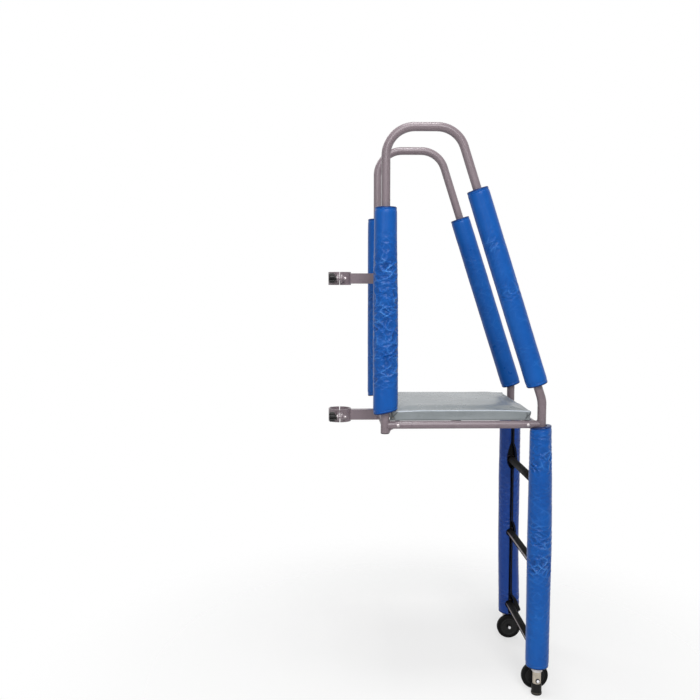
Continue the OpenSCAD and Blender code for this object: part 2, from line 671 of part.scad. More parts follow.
handrail(-1);  // handrail_near
handrail(1);  // handrail_far
side_rail(-1);  // side_rail_near
side_rail(1);  // side_rail_far
platform_tube(0);  // platform_tube_front
platform_tube(rear_tube_x / 2);  // platform_tube_middle
platform_tube(rear_tube_x);  // platform_tube_rear
corner_gussets();
upright_plugs();
upper_crossbar();
deck_board();
deck_pad();
deck_brackets();
deck_bolts();
deck_screws();
ladder_leg(-1);  // ladder_leg_near
ladder_leg(1);  // ladder_leg_far
leg_lock_buttons();
rung(0);  // rung_lower
rung(1);  // rung_middle
rung(2);  // rung_upper
rung_grip(0);  // rung_grip_lower
rung_grip(1);  // rung_grip_middle
rung_grip(2);  // rung_grip_upper
leg_collar(-1);  // leg_collar_near
leg_collar(1);  // leg_collar_far
foot_tube(-1);  // foot_tube_near
foot_tube(1);  // foot_tube_far
foot_tip(-1);  // foot_tip_near
foot_tip(1);  // foot_tip_far
axle_bolt(-1);  // axle_bolt_near
axle_bolt(1);  // axle_bolt_far
axle_spacer(-1);  // axle_spacer_near
axle_spacer(1);  // axle_spacer_far
wheel_hub(-1);  // wheel_hub_near
wheel_hub(1);  // wheel_hub_far
wheel_tyre(-1);  // wheel_tyre_near
wheel_tyre(1);  // wheel_tyre_far
clamp_arm(platform_h, deck_r);  // clamp_arm_lower
clamp_arm(upper_clamp_h, rail_r);  // clamp_arm_upper
clamp_saddle(platform_h);  // clamp_saddle_lower
clamp_saddle(upper_clamp_h);  // clamp_saddle_upper
clamp_cap(platform_h);  // clamp_cap_lower
clamp_cap(upper_clamp_h);  // clamp_cap_upper
clamp_knob(platform_h, -1);  // clamp_knob_lower_near
clamp_knob(platform_h, 1);  // clamp_knob_lower_far
clamp_knob(upper_clamp_h, -1);  // clamp_knob_upper_near
clamp_knob(upper_clamp_h, 1);  // clamp_knob_upper_far
clamp_screw(platform_h, -1);  // clamp_screw_lower_near
clamp_screw(platform_h, 1);  // clamp_screw_lower_far
clamp_screw(upper_clamp_h, -1);  // clamp_screw_upper_near
clamp_screw(upper_clamp_h, 1);  // clamp_screw_upper_far
front_pad(-1);  // front_pad_near
front_pad(1);  // front_pad_far
slant_pad(-1, near_pad_slack);  // slant_pad_near
slant_pad(1, far_pad_slack);  // slant_pad_far
leg_pad(-1);  // leg_pad_near
leg_pad(1);  // leg_pad_far
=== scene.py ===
"""Looks for the volleyball referee stand: finishes, foam sleeves, deck cushion, welds and stitching.

All sizes are in metres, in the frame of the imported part: +X towards the ladder, +Y towards the
far side frame, +Z up, with the origin on the floor.
"""

import json
import logging
import math
from collections.abc import Iterator
from contextlib import contextmanager
from dataclasses import dataclass, field
from enum import Enum

import bpy
import numpy as np
from mathutils import Matrix, Vector

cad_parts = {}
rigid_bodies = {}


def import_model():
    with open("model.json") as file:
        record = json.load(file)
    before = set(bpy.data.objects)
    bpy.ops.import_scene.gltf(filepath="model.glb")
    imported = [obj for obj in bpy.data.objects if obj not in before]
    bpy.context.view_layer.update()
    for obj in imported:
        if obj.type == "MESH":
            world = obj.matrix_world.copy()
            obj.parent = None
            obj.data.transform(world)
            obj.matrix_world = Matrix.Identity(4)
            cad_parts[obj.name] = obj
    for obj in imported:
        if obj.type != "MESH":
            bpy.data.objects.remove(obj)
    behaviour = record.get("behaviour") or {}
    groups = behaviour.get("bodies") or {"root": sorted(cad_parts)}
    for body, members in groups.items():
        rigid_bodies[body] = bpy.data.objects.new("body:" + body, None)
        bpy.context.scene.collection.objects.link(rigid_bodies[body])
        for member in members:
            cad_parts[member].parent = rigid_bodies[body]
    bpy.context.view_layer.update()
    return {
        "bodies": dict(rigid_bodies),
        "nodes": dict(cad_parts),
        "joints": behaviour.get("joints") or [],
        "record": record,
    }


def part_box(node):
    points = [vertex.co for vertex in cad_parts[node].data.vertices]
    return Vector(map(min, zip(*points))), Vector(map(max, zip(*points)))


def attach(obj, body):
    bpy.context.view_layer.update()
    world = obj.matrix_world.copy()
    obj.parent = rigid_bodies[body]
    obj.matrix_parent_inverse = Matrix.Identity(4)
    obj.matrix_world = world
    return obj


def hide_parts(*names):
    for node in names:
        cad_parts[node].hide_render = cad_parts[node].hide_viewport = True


LOG = logging.getLogger("referee_stand")

Colour = tuple[float, float, float]
Values = np.ndarray | float
Faces = list[tuple[int, ...]]
Piece = bpy.types.Object
Material = bpy.types.Material
Node = bpy.types.Node
NodeTree = bpy.types.NodeTree
Socket = bpy.types.NodeSocket


class Side(Enum):
    """The side frame a piece belongs to."""

    NEAR = -1
    FAR = 1

    @property
    def word(self) -> str:
        """The ending of this side's node names."""
        return self.name.lower()


class Texture(Enum):
    """The pattern of a finish's fine relief: its node, and the output that gives its height."""

    CLOUDS = ("TexNoise", "Fac")
    CELLS = ("TexVoronoi", "Distance")


# Workshop: selecting, joining and finishing meshes


def deselect_all() -> None:
    """Leaves nothing selected, because an operator acts on all that is."""
    if bpy.context.object and bpy.context.object.mode != "OBJECT":
        bpy.ops.object.mode_set(mode="OBJECT")
    for obj in list(bpy.context.selected_objects):
        obj.select_set(False)


def take(obj: Piece) -> None:
    """Makes a piece the only selected and the active one.

    Args:
        obj: The piece.
    """
    deselect_all()
    obj.select_set(True)
    bpy.context.view_layer.objects.active = obj


@contextmanager
def edit_mode(obj: Piece) -> Iterator[None]:
    """Opens a piece in edit mode, with all of it selected.

    Args:
        obj: The piece.

    Yields:
        Nothing. The piece is in edit mode until the block ends.
    """
    take(obj)
    bpy.ops.object.mode_set(mode="EDIT")
    bpy.ops.mesh.select_all(action="SELECT")
    yield
    bpy.ops.object.mode_set(mode="OBJECT")


def apply_modifier(obj: Piece, modifier: bpy.types.Modifier) -> None:
    """Makes a modifier's result the piece's own mesh."""
    take(obj)
    bpy.ops.object.modifier_apply(modifier=modifier.name)


def set_in_place(obj: Piece, name: str) -> Piece:
    """Moves an object's place, turn and size into its mesh, and names it.

    Args:
        obj: The object to settle.
        name: Its new name.

    Returns:
        The same object.
    """
    take(obj)
    bpy.ops.object.transform_apply(location=True, rotation=True, scale=True)
    obj.name = obj.data.name = name
    return obj


def shade_smooth(obj: Piece, degrees: float) -> None:
    """Shades a piece smooth, with edges sharper than an angle kept crisp."""
    take(obj)
    bpy.ops.object.shade_smooth_by_angle(angle=math.radians(degrees), keep_sharp_edges=True)


def face_outwards(obj: Piece) -> None:
    """Merges doubled points, and points every face outwards.

    Args:
        obj: A closed piece.
    """
    with edit_mode(obj):
        bpy.ops.mesh.remove_doubles(threshold=1e-6)
        bpy.ops.mesh.normals_make_consistent(inside=False)


def join(pieces: list[Piece], name: str) -> Piece:
    """Joins two or more pieces into one.

    Args:
        pieces: The pieces.
        name: The joined piece's name.

    Returns:
        The joined piece.
    """
    take(pieces[0])
    for piece in pieces[1:]:
        piece.select_set(True)
    bpy.ops.object.join()
    return set_in_place(pieces[0], name)


def mesh_piece(name: str, points: np.ndarray, faces: Faces) -> Piece:
    """Makes a piece from points and faces, already in place.

    Args:
        name: The piece's name.
        points: An array of points, one row each.
        faces: The point numbers of each face.

    Returns:
        The new object.
    """
    mesh = bpy.data.meshes.new(name)
    mesh.from_pydata(points.tolist(), [], faces)
    mesh.update()
    obj = bpy.data.objects.new(name, mesh)
    bpy.context.scene.collection.objects.link(obj)
    return obj


def layered_strip(points: list[np.ndarray], across: int) -> Piece:
    """Closes a thin strip.

    Args:
        points: Its points, row by row: first those of the outer face, then those of the inner one.
        across: How many faces wide it is.

    Returns:
        The strip.
    """
    ring = 2 * (across + 1)
    last = len(points) - ring
    faces: Faces = []
    for a in range(0, last, ring):
        b, c, d = a + ring, a + across + 1, a + ring + across + 1
        for n in range(across):
            faces.append((a + n, a + n + 1, b + n + 1, b + n))
            faces.append((c + n, d + n, d + n + 1, c + n + 1))
        faces.append((a, b, d, c))
        faces.append((a + across, c + across, d + across, b + across))
    for a in (0, last):
        faces += [(a + n, a + n + 1, a + across + 2 + n, a + across + 1 + n) for n in range(across)]
    obj = mesh_piece("strip", np.array(points), faces)
    face_outwards(obj)
    return obj


def read_points(obj: Piece, what: str = "co") -> np.ndarray:
    """Reads a mesh's points, or their normals.

    Args:
        obj: The piece.
        what: co for the points, normal for their normals.

    Returns:
        The values, one row each.
    """
    values = np.zeros(len(obj.data.vertices) * 3)
    obj.data.vertices.foreach_get(what, values)
    return values.reshape(-1, 3)


def write_points(obj: Piece, points: np.ndarray) -> None:
    """Moves a mesh's points to new places."""
    obj.data.vertices.foreach_set("co", points.reshape(-1))
    obj.data.update()


def paint_masks(obj: Piece, **masks: np.ndarray) -> None:
    """Gives a piece the masks that its finish reads.

    Args:
        obj: The piece.
        **masks: Each mask's values, one a point, by the mask's name.
    """
    for word, values in masks.items():
        mask = obj.data.attributes.new(word, "FLOAT", "POINT")
        mask.data.foreach_set("value", values.astype(np.float32))


def dress(obj: Piece, material: Material) -> None:
    """Gives a piece or a CAD node one finish all over.

    Args:
        obj: The piece or node.
        material: Its finish.
    """
    if not obj.material_slots:
        obj.data.materials.append(material)
    for slot in obj.material_slots:
        slot.material = material


def dress_nodes(nodes: dict[str, Piece], starts: str, material: Material) -> None:
    """Gives one finish to a group of CAD nodes.

    Args:
        nodes: All CAD nodes, by name.
        starts: How the names of the group's nodes start, with spaces between.
        material: The finish.
    """
    for name, node in nodes.items():
        if name.startswith(tuple(starts.split())):
            dress(node, material)


def span(node: str) -> tuple[Vector, Vector, Vector]:
    """Measures a CAD node, and returns its lowest corner, its highest corner and its centre."""
    low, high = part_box(node)
    return low, high, (low + high) / 2


def smoothstep(x: Values) -> Values:
    """Eases 0 to 1, and holds outside that range."""
    x = np.clip(x, 0.0, 1.0)
    return x * x * (3 - 2 * x)


def ramp(x: Values, start: float, reach: float) -> Values:
    """Gives 0 up to a start, and rises smoothly to 1 within a reach."""
    return smoothstep((x - start) / reach)


def bell(x: Values, width: float) -> Values:
    """Gives 1 at 0, and falls off smoothly on both sides of it."""
    return np.exp(-((x / width) ** 2))


class Path:
    """A line through points, read by the distance along it."""

    def __init__(self, points: np.ndarray) -> None:
        """Measures the line."""
        self.points = points
        self.runs = np.concatenate([[0], np.cumsum(np.linalg.norm(np.diff(points, axis=0), axis=1))])

    def at(self, run: float) -> np.ndarray:
        """Finds the point at a distance along the line."""
        return np.array([np.interp(run, self.runs, self.points[:, axis]) for axis in range(3)])


class Creases:
    """A repeatable random pattern over a cover, wrapped round its girth."""

    LONGEST = 2.2

    def __init__(self, seed: int, along: np.ndarray, around: np.ndarray) -> None:
        """Starts the pattern.

        Args:
            seed: Chooses the pattern. The same seed gives the same folds.
            along: Each point's distance along the cover.
            around: Each point's share of a full turn, 0 to 1.
        """
        self.rng = np.random.RandomState(seed)
        self.along, self.around = along, around

    def swell(self, length: float, count: int, slide: Values = 0.0, turn: Values = 0.0) -> np.ndarray:
        """Draws smooth random hills.

        Args:
            length: Length of a hill along the cover.
            count: Number of hills round it.
            slide: How far each point is read further along.
            turn: By what share of a turn it is read further round.

        Returns:
            Heights from 0 to 1.
        """
        table = self.rng.rand(int(self.LONGEST / length) + 4, count)
        a = (self.along + slide) / length + 2
        b = ((self.around + turn) % 1.0) * count
        ia, ib = np.floor(a).astype(int), np.floor(b).astype(int)
        fa, fb = smoothstep(a - ia), smoothstep(b - ib)
        ia = np.clip(ia, 0, table.shape[0] - 2)
        ib0, ib1 = ib % count, (ib + 1) % count
        top = table[ia, ib0] * (1 - fb) + table[ia, ib1] * fb
        low = table[ia + 1, ib0] * (1 - fb) + table[ia + 1, ib1] * fb
        return top * (1 - fa) + low * fa

    def hills(self, length: float, count: int) -> np.ndarray:
        """Draws smooth random hills and hollows, from -0.5 to 0.5."""
        return self.swell(length, count) - 0.5

    def folds(self, length: float, count: int, sharp: float) -> np.ndarray:
        """Draws thin sharp valleys that run mostly round the cover.

        Args:
            length: Spacing of the folds along the cover.
            count: Their number round it.
            sharp: How narrow the valleys are. A higher number is narrower.

        Returns:
            Depths from 0 to 1.
        """
        drift = self.swell(length * 2.4, max(3, count // 2))
        slide = length * 1.6 * (drift - 0.5)
        return (1 - np.abs(2 * self.swell(length, count, slide, 0.05 * drift) - 1)) ** sharp


# Shader nodes, and the effects that several finishes share


class Bench:
    """A node tree under construction."""

    def __init__(self, tree: NodeTree) -> None:
        """Starts on a tree."""
        self.tree = tree

    def add(self, kind: str, inputs: dict[object, object] | None = None, **settings: object) -> Node:
        """Adds a node, and sets or links its inputs.

        Args:
            kind: The node's type, without the ShaderNode in front.
            inputs: Values or sockets by input name or number.
            **settings: The node's own settings.

        Returns:
            The new node.
        """
        node = self.tree.nodes.new(f"ShaderNode{kind}")
        for key, value in settings.items():
            setattr(node, key, value)
        for key, value in (inputs or {}).items():
            if isinstance(value, bpy.types.NodeSocket):
                self.tree.links.new(value, node.inputs[key])
            else:
                node.inputs[key].default_value = value
        return node

    def noise(self, place: Socket, scale: object, detail: float, **more: float) -> Socket:
        """Adds cloudy noise, and returns its height."""
        inputs = {"Vector": place, "Scale": scale, "Detail": detail, **more}
        return self.add("TexNoise", inputs).outputs["Fac"]

    def spread(self, value: Socket, low: float, high: float, **settings: str) -> Socket:
        """Spreads the part of a value between two levels over 0 to 1."""
        inputs = {"Value": value, "From Min": low, "From Max": high}
        return self.add("MapRange", inputs, **settings).outputs[0]

    def maths(self, operation: str, *values: object) -> Socket:
        """Adds a sum of one or two numbers, and returns its result."""
        return self.add("Math", dict(enumerate(values)), operation=operation).outputs[0]

    def vectors(self, operation: str, *values: object) -> Node:
        """Adds a sum of one or two vectors."""
        return self.add("VectorMath", dict(enumerate(values)), operation=operation)

    def mix(self, share: Socket, under: Socket | Colour, over: Socket | Colour) -> Socket:
        """Lays one colour over another.

        Args:
            share: How much of the upper colour shows.
            under: The colour below.
            over: The colour on top.

        Returns:
            The mixed colour.
        """
        below, above = ((*c, 1.0) if isinstance(c, tuple) else c for c in (under, over))
        return self.add("Mix", {0: share, 6: below, 7: above}, data_type="RGBA").outputs[2]

    def blend(self, share: Socket, under: Socket, over: Socket) -> Socket:
        """Lays one shader over another, and returns the result."""
        return self.add("MixShader", {0: share, 1: under, 2: over}).outputs[0]

    def backdrop_rays(self) -> Socket:
        """Marks the rays that see the backdrop, straight on, in gloss or through glass.

        Returns:
            1 for such a ray, 0 for any other.
        """
        path = self.add("LightPath")
        seen = path.outputs["Is Camera Ray"]
        for ray in ("Is Glossy Ray", "Is Transmission Ray"):
            seen = self.maths("MAXIMUM", seen, path.outputs[ray])
        return seen


class Effect(Bench):
    """A shader node group with named inputs and outputs."""

    def __init__(self, name: str, **inputs: object) -> None:
        """Starts the group.

        Args:
            name: The group's name.
            **inputs: Its inputs besides Vector, each a number or a colour, with their default values.
        """
        super().__init__(bpy.data.node_groups.new(name, "ShaderNodeTree"))
        source = self.tree.nodes.new("NodeGroupInput")
        self.sink = self.tree.nodes.new("NodeGroupOutput")
        self.tree.interface.new_socket(name="Vector", in_out="INPUT", socket_type="NodeSocketVector")
        for word, value in inputs.items():
            kind = "NodeSocketColor" if isinstance(value, tuple) else "NodeSocketFloat"
            item = self.tree.interface.new_socket(name=word, in_out="INPUT", socket_type=kind)
            item.default_value = value
        self.take_in = {socket.name: socket for socket in source.outputs}
        self.place = self.take_in["Vector"]

    def give_out(self, name: str, kind: str, value: Socket) -> None:
        """Adds an output and feeds it.

        Args:
            name: The socket's name.
            kind: Color or Float.
            value: The socket that feeds it.
        """
        self.tree.interface.new_socket(name=name, in_out="OUTPUT", socket_type=f"NodeSocket{kind}")
        self.tree.links.new(value, self.sink.inputs[name])


class SharedEffects:
    """The shader groups that several finishes use, each built once."""

    def __init__(self) -> None:
        """Builds every group."""
        self.tone_drift = self._tone_drift()
        self.vinyl_grain = self._vinyl_grain()
        self.scuffs = self._scuffs()
        self.dust = self._dust()

    @staticmethod
    def _tone_drift() -> NodeTree:
        """Builds a slow drift between two tones.

        Returns:
            The group.
        """
        group = Effect("tone_drift", Scale=8.0, Light=(0.8, 0.8, 0.8, 1), Dark=(0.5, 0.5, 0.5, 1))
        clouds = group.noise(group.place, group.take_in["Scale"], 5.0, Roughness=0.6)
        share = group.spread(clouds, 0.3, 0.7)
        group.give_out("Color", "Color", group.mix(share, group.take_in["Dark"], group.take_in["Light"]))
        group.give_out("Share", "Float", share)
        return group.tree

    @staticmethod
    def _vinyl_grain() -> NodeTree:
        """Builds the pebbled grain of coated cloth, as a height.

        Returns:
            The group.
        """
        group = Effect("vinyl_grain", Scale=700.0)
        scale = group.take_in["Scale"]
        inputs = {"Vector": group.place, "Scale": scale, "Smoothness": 0.6}
        pebbles = group.add("TexVoronoi", inputs, feature="SMOOTH_F1").outputs["Distance"]
        fine = group.noise(group.place, scale, 3.0)
        group.give_out("Height", "Float", group.maths("MULTIPLY", pebbles, fine))
        return group.tree

    @staticmethod
    def _scuffs() -> NodeTree:
        """Builds sparse rubbed patches and fine scratches, as a mask.

        Returns:
            The group.
        """
        group = Effect("scuffs", Amount=0.5)
        inputs = {"Vector": group.place, "Rotation": (0.4, 0.3, 0.2), "Scale": (9.0, 90.0, 60.0)}
        stretched = group.add("Mapping", inputs).outputs[0]
        lines = group.spread(group.noise(stretched, 6.0, 6.0, Roughness=0.7), 0.6, 0.72)
        areas = group.spread(group.noise(group.place, 7.0, 2.0), 0.5, 0.7)
        both = group.maths("MULTIPLY", lines, areas)
        group.give_out("Mask", "Float", group.maths("MULTIPLY", both, group.take_in["Amount"]))
        return group.tree

    @staticmethod
    def _dust() -> NodeTree:
        """Builds dust that settles on what faces up, as a mask.

        Returns:
            The group.
        """
        group = Effect("settled_dust", Amount=0.3)
        facing = group.add("SeparateXYZ", {0: group.add("NewGeometry").outputs["Normal"]})
        upward = group.spread(facing.outputs["Z"], 0.2, 1.0)
        clouds = group.spread(group.noise(group.place, 40.0, 6.0, Roughness=0.7), 0.35, 0.75)
        both = group.maths("MULTIPLY", upward, clouds)
        group.give_out("Mask", "Float", group.maths("MULTIPLY", both, group.take_in["Amount"]))
        return group.tree


# Finishes


class Finish(Bench):
    """A material under construction, around one Principled shader."""

    def __init__(self, name: str, roughness: float, metallic: float = 0.0, specular: float = 0.5) -> None:
        """Starts the material.

        Args:
            name: The material's name.
            roughness: Roughness where nothing else drives it.
            metallic: Metallic share.
            specular: Specular level.
        """
        self.material = bpy.data.materials.new(name)
        self.material.use_nodes = True
        super().__init__(self.material.node_tree)
        self.shader = self.tree.nodes["Principled BSDF"]
        self.shader.inputs["Roughness"].default_value = roughness
        self.shader.inputs["Metallic"].default_value = metallic
        self.shader.inputs["Specular IOR Level"].default_value = specular
        self.place = self.add("TexCoord").outputs["Object"]

    def effect(self, group: NodeTree, **inputs: object) -> bpy.types.NodeOutputs:
        """Places a shared effect.

        Args:
            group: The effect's node group.
            **inputs: Its input values by name.

        Returns:
            The group node's outputs.
        """
        values = {key: (*value, 1.0) if isinstance(value, tuple) else value for key, value in inputs.items()}
        return self.add("Group", {"Vector": self.place, **values}, node_tree=group).outputs

    def feed(self, socket: str, value: Socket) -> None:
        """Links a value to the shader."""
        self.tree.links.new(value, self.shader.inputs[socket])

    def bump(self, height: Socket, distance: float, strength: float) -> None:
        """Adds relief, on top of any relief that is there.

        Args:
            height: The height, about 0 to 1.
            distance: The height in metres that 1 stands for.
            strength: The share of the relief that shows.
        """
        node = self.add("Bump", {"Height": height, "Distance": distance, "Strength": strength})
        before = self.shader.inputs["Normal"].links
        if before:
            self.tree.links.new(before[0].from_socket, node.inputs["Normal"])
        self.feed("Normal", node.outputs["Normal"])


@dataclass(frozen=True, kw_only=True)
class Recipe:
    """What a finish is made of: two drifting tones, rubbed patches, settled dust and a fine relief."""

    name: str
    light: Colour
    dark: Colour
    tone_scale: float
    roughness: float
    uneven: tuple[float, float] | None = None
    metallic: float = 0.0
    specular: float = 0.5
    scuffed: float = 0.0
    rubbed: Colour = (0.3, 0.27, 0.24)
    dusty: float = 0.0
    dust: Colour = (0.3, 0.29, 0.27)
    texture: Texture = Texture.CLOUDS
    texture_scale: float = 1000.0
    detail: float = 2.0
    relief: tuple[float, float] = (0.0001, 0.5)

    def build(self, effects: SharedEffects) -> Material:
        """Builds the material.

        Args:
            effects: The shared shader groups.

        Returns:
            The material.
        """
        finish = Finish(self.name, self.roughness, self.metallic, self.specular)
        tone = finish.effect(effects.tone_drift, Scale=self.tone_scale, Light=self.light, Dark=self.dark)
        colour = tone["Color"]
        if self.scuffed:
            worn = finish.effect(effects.scuffs, Amount=self.scuffed)["Mask"]
            colour = finish.mix(worn, colour, self.rubbed)
        colour = self.mark(finish, colour)
        if self.dusty:
            settled = finish.effect(effects.dust, Amount=self.dusty)["Mask"]
            colour = finish.mix(settled, colour, self.dust)
        finish.feed("Base Color", colour)
        if self.uneven:
            smoother, rougher = self.roughness - self.uneven[0], self.roughness + self.uneven[1]
            inputs = {"Value": tone["Share"], "To Min": smoother, "To Max": rougher}
            finish.feed("Roughness", finish.add("MapRange", inputs).outputs[0])
        self.press(finish, effects)
        return finish.material

    def mark(self, finish: Finish, colour: Socket) -> Socket:
        """Adds the finish's own marks to its colour. A plain finish has none."""
        return colour

    def press(self, finish: Finish, effects: SharedEffects) -> None:
        """Presses the fine relief into the surface.

        Args:
            finish: The material under construction.
            effects: The shared shader groups.
        """
        kind, height = self.texture.value
        inputs = {"Vector": finish.place, "Scale": self.texture_scale}
        if self.texture is Texture.CLOUDS:
            inputs["Detail"] = self.detail
        finish.bump(finish.add(kind, inputs).outputs[height], *self.relief)


@dataclass(frozen=True, kw_only=True)
class PowderCoat(Recipe):
    """Satin powder coat on the frame's tubes, with a faint orange peel."""

    tone_scale: float = 9.0
    roughness: float = 0.29
    uneven: tuple[float, float] = (0.05, 0.08)
    specular: float = 0.42
    scuffed: float = 0.35
    dusty: float = 0.08
    dust: Colour = (0.42, 0.39, 0.38)
    texture_scale: float = 420.0
    relief: tuple[float, float] = (0.00012, 0.08)


@dataclass(frozen=True, kw_only=True)
class CoatedVinyl(Recipe):
    """Coated cloth over foam, with a fine grain, painted shade in the creases and a painted highlight on the
    ridges.
    """

    # Painted shade colour for the creases, and painted highlight colour for the ridges
    crease: Colour
    ridge: Colour
    tone_scale: float = 5.0
    roughness: float = 0.29
    uneven: tuple[float, float] = (0.06, 0.08)
    specular: float = 0.17
    scuffed: float = 0.25
    dusty: float = 0.04
    dust: Colour = (0.45, 0.45, 0.45)
    texture_scale: float = 900.0
    relief: tuple[float, float] = (0.00012, 0.6)
    slack_scale: float = 55.0
    slack: tuple[float, float] = (0.0009, 0.25)

    def mark(self, finish: Finish, colour: Socket) -> Socket:
        """Paints a highlight on the ridges and shade in the creases, where the piece's masks are.

        Args:
            finish: The material under construction.
            colour: Its colour so far.

        Returns:
            The marked colour.
        """
        # Painted highlight on the ridges, then painted shade in the creases
        for word, tint in (("ridge", self.ridge), ("crease", self.crease)):
            colour = finish.mix(finish.add("Attribute", attribute_name=word).outputs["Fac"], colour, tint)
        return colour

    def press(self, finish: Finish, effects: SharedEffects) -> None:
        """Presses soft slack and the vinyl's grain into the surface.

        Args:
            finish: The material under construction.
            effects: The shared shader groups.
        """
        finish.bump(finish.noise(finish.place, self.slack_scale, 4.0, Distortion=0.4), *self.slack)
        grain = finish.effect(effects.vinyl_grain, Scale=self.texture_scale)
        finish.bump(grain["Height"], *self.relief)


@dataclass(frozen=True, kw_only=True)
class Rubber(Recipe):
    """Matt moulded rubber with pale dust and scuffs. Its painted highlight ring is given as a height and its
    reach.
    """

    light: Colour = (0.011, 0.0105, 0.010)
    dark: Colour = (0.006, 0.006, 0.006)
    tone_scale: float = 30.0
    roughness: float = 0.5
    uneven: tuple[float, float] = (0.1, 0.12)
    specular: float = 0.15
    scuffed: float = 0.3
    rubbed: Colour = (0.05, 0.047, 0.044)
    dusty: float = 0.06
    dust: Colour = (0.12, 0.11, 0.10)
    texture_scale: float = 1500.0
    detail: float = 3.0
    relief: tuple[float, float] = (0.00012, 0.6)
    worn_ring: tuple[float, float] | None = None
    ring_tone: Colour = (0.20, 0.18, 0.15)

    def mark(self, finish: Finish, colour: Socket) -> Socket:
        """Paints the pale highlight ring, where there is one.

        Args:
            finish: The material under construction.
            colour: Its colour so far.

        Returns:
            The marked colour.
        """
        if self.worn_ring is None:
            return colour
        # Painted highlight: a pale ring round the tip near the floor
        height, reach = self.worn_ring
        level = finish.add("SeparateXYZ", {0: finish.place}).outputs["Z"]
        away = finish.maths("ABSOLUTE", finish.maths("SUBTRACT", level, height))
        ring = finish.add("MapRange", {"Value": away, "From Max": reach, "To Min": 0.5, "To Max": 0.0})
        return finish.mix(ring.outputs[0], colour, self.ring_tone)


@dataclass(frozen=True, kw_only=True)
class Plate(Recipe):
    """Bare plated steel, with a slight spangle and rubbed lines.

    Its painted shade ring is given as the X and Z of an axle, and the radii between which its face turns
    dark.
    """

    tone_scale: float = 70.0
    roughness: float = 0.3
    uneven: tuple[float, float] = (0.08, 0.14)
    metallic: float = 1.0
    scuffed: float = 0.6
    relief: tuple[float, float] = (0.00006, 0.5)
    washer: tuple[float, float, float, float] | None = None
    washer_tone: Colour = (0.02, 0.018, 0.02)

    def mark(self, finish: Finish, colour: Socket) -> Socket:
        """Paints a ring of shade round the bolt's head, where there is one.

        Args:
            finish: The material under construction.
            colour: Its colour so far.

        Returns:
            The marked colour.
        """
        if self.washer is None:
            return colour
        # Painted shade: a dark ring round the bolt's head
        x, z, start, end = self.washer
        centred = finish.vectors("SUBTRACT", finish.place, (x, 0.0, z)).outputs[0]
        flat = finish.vectors("MULTIPLY", centred, (1.0, 0.0, 1.0)).outputs[0]
        ring = finish.spread(finish.vectors("LENGTH", flat).outputs["Value"], start, end)
        return finish.mix(ring, colour, self.washer_tone)

    def press(self, finish: Finish, effects: SharedEffects) -> None:
        """Presses fine drawn lines into the surface."""
        drawn = finish.add("Mapping", {"Vector": finish.place, "Scale": (260.0, 260.0, 1800.0)}).outputs[0]
        finish.bump(finish.noise(drawn, 1.0, self.detail), *self.relief)


@dataclass(frozen=True, kw_only=True)
class MouldedPlastic(Recipe):
    """Injection-moulded plastic with a faint texture."""

    tone_scale: float = 40.0
    roughness: float = 0.42
    uneven: tuple[float, float] = (0.06, 0.1)
    specular: float = 0.25
    scuffed: float = 0.4
    rubbed: Colour = (0.08, 0.077, 0.074)
    dusty: float = 0.05
    texture: Texture = Texture.CELLS
    texture_scale: float = 1100.0
    relief: tuple[float, float] = (0.00008, 0.5)


@dataclass(frozen=True, kw_only=True)
class RawPlywood(Recipe):
    """Bare plywood, with face grain and plies on its edges."""

    name: str = "raw_plywood"
    light: Colour = (0.55, 0.38, 0.21)
    dark: Colour = (0.36, 0.22, 0.11)
    tone_scale: float = 1.6
    roughness: float = 0.7
    relief: tuple[float, float] = (0.0003, 0.6)

    def build(self, effects: SharedEffects) -> Material:
        """Builds the material from stretched grain alone.

        Args:
            effects: The shared shader groups, none of which it uses.

        Returns:
            The material.
        """
        finish = Finish(self.name, self.roughness)
        stretched = finish.add("Mapping", {"Vector": finish.place, "Scale": (6.0, 70.0, 260.0)}).outputs[0]
        grain = finish.noise(stretched, self.tone_scale, 7.0, Distortion=0.6)
        finish.feed("Base Color", finish.mix(finish.spread(grain, 0.35, 0.68), self.dark, self.light))
        finish.bump(grain, *self.relief)
        return finish.material


@dataclass(frozen=True, kw_only=True)
class OpenFoam(Recipe):
    """Cut closed-cell foam inside the sleeves."""

    name: str = "cut_foam"
    light: Colour = (0.010, 0.010, 0.011)
    dark: Colour = (0.005, 0.005, 0.006)
    tone_scale: float = 25.0
    roughness: float = 0.85
    specular: float = 0.05
    texture: Texture = Texture.CELLS
    texture_scale: float = 650.0
    relief: tuple[float, float] = (0.0004, 0.8)


@dataclass(frozen=True, kw_only=True)
class Thread(Recipe):
    """Bonded sewing thread."""

    tone_scale: float = 400.0
    roughness: float = 0.55
    specular: float = 0.2
    texture_scale: float = 3000.0
    detail: float = 1.0
    relief: tuple[float, float] = (0.0001, 0.7)


@dataclass(frozen=True, kw_only=True)
class HookTape(Recipe):
    """Black hook-and-loop tape, with a fuzzy pile and some lint."""

    name: str = "hook_tape"
    light: Colour = (0.014, 0.014, 0.015)
    dark: Colour = (0.006, 0.006, 0.007)
    tone_scale: float = 60.0
    roughness: float = 0.8
    specular: float = 0.1
    scuffed: float = 0.3
    rubbed: Colour = (0.06, 0.06, 0.062)
    texture: Texture = Texture.CELLS
    texture_scale: float = 800.0
    relief: tuple[float, float] = (0.0005, 0.8)


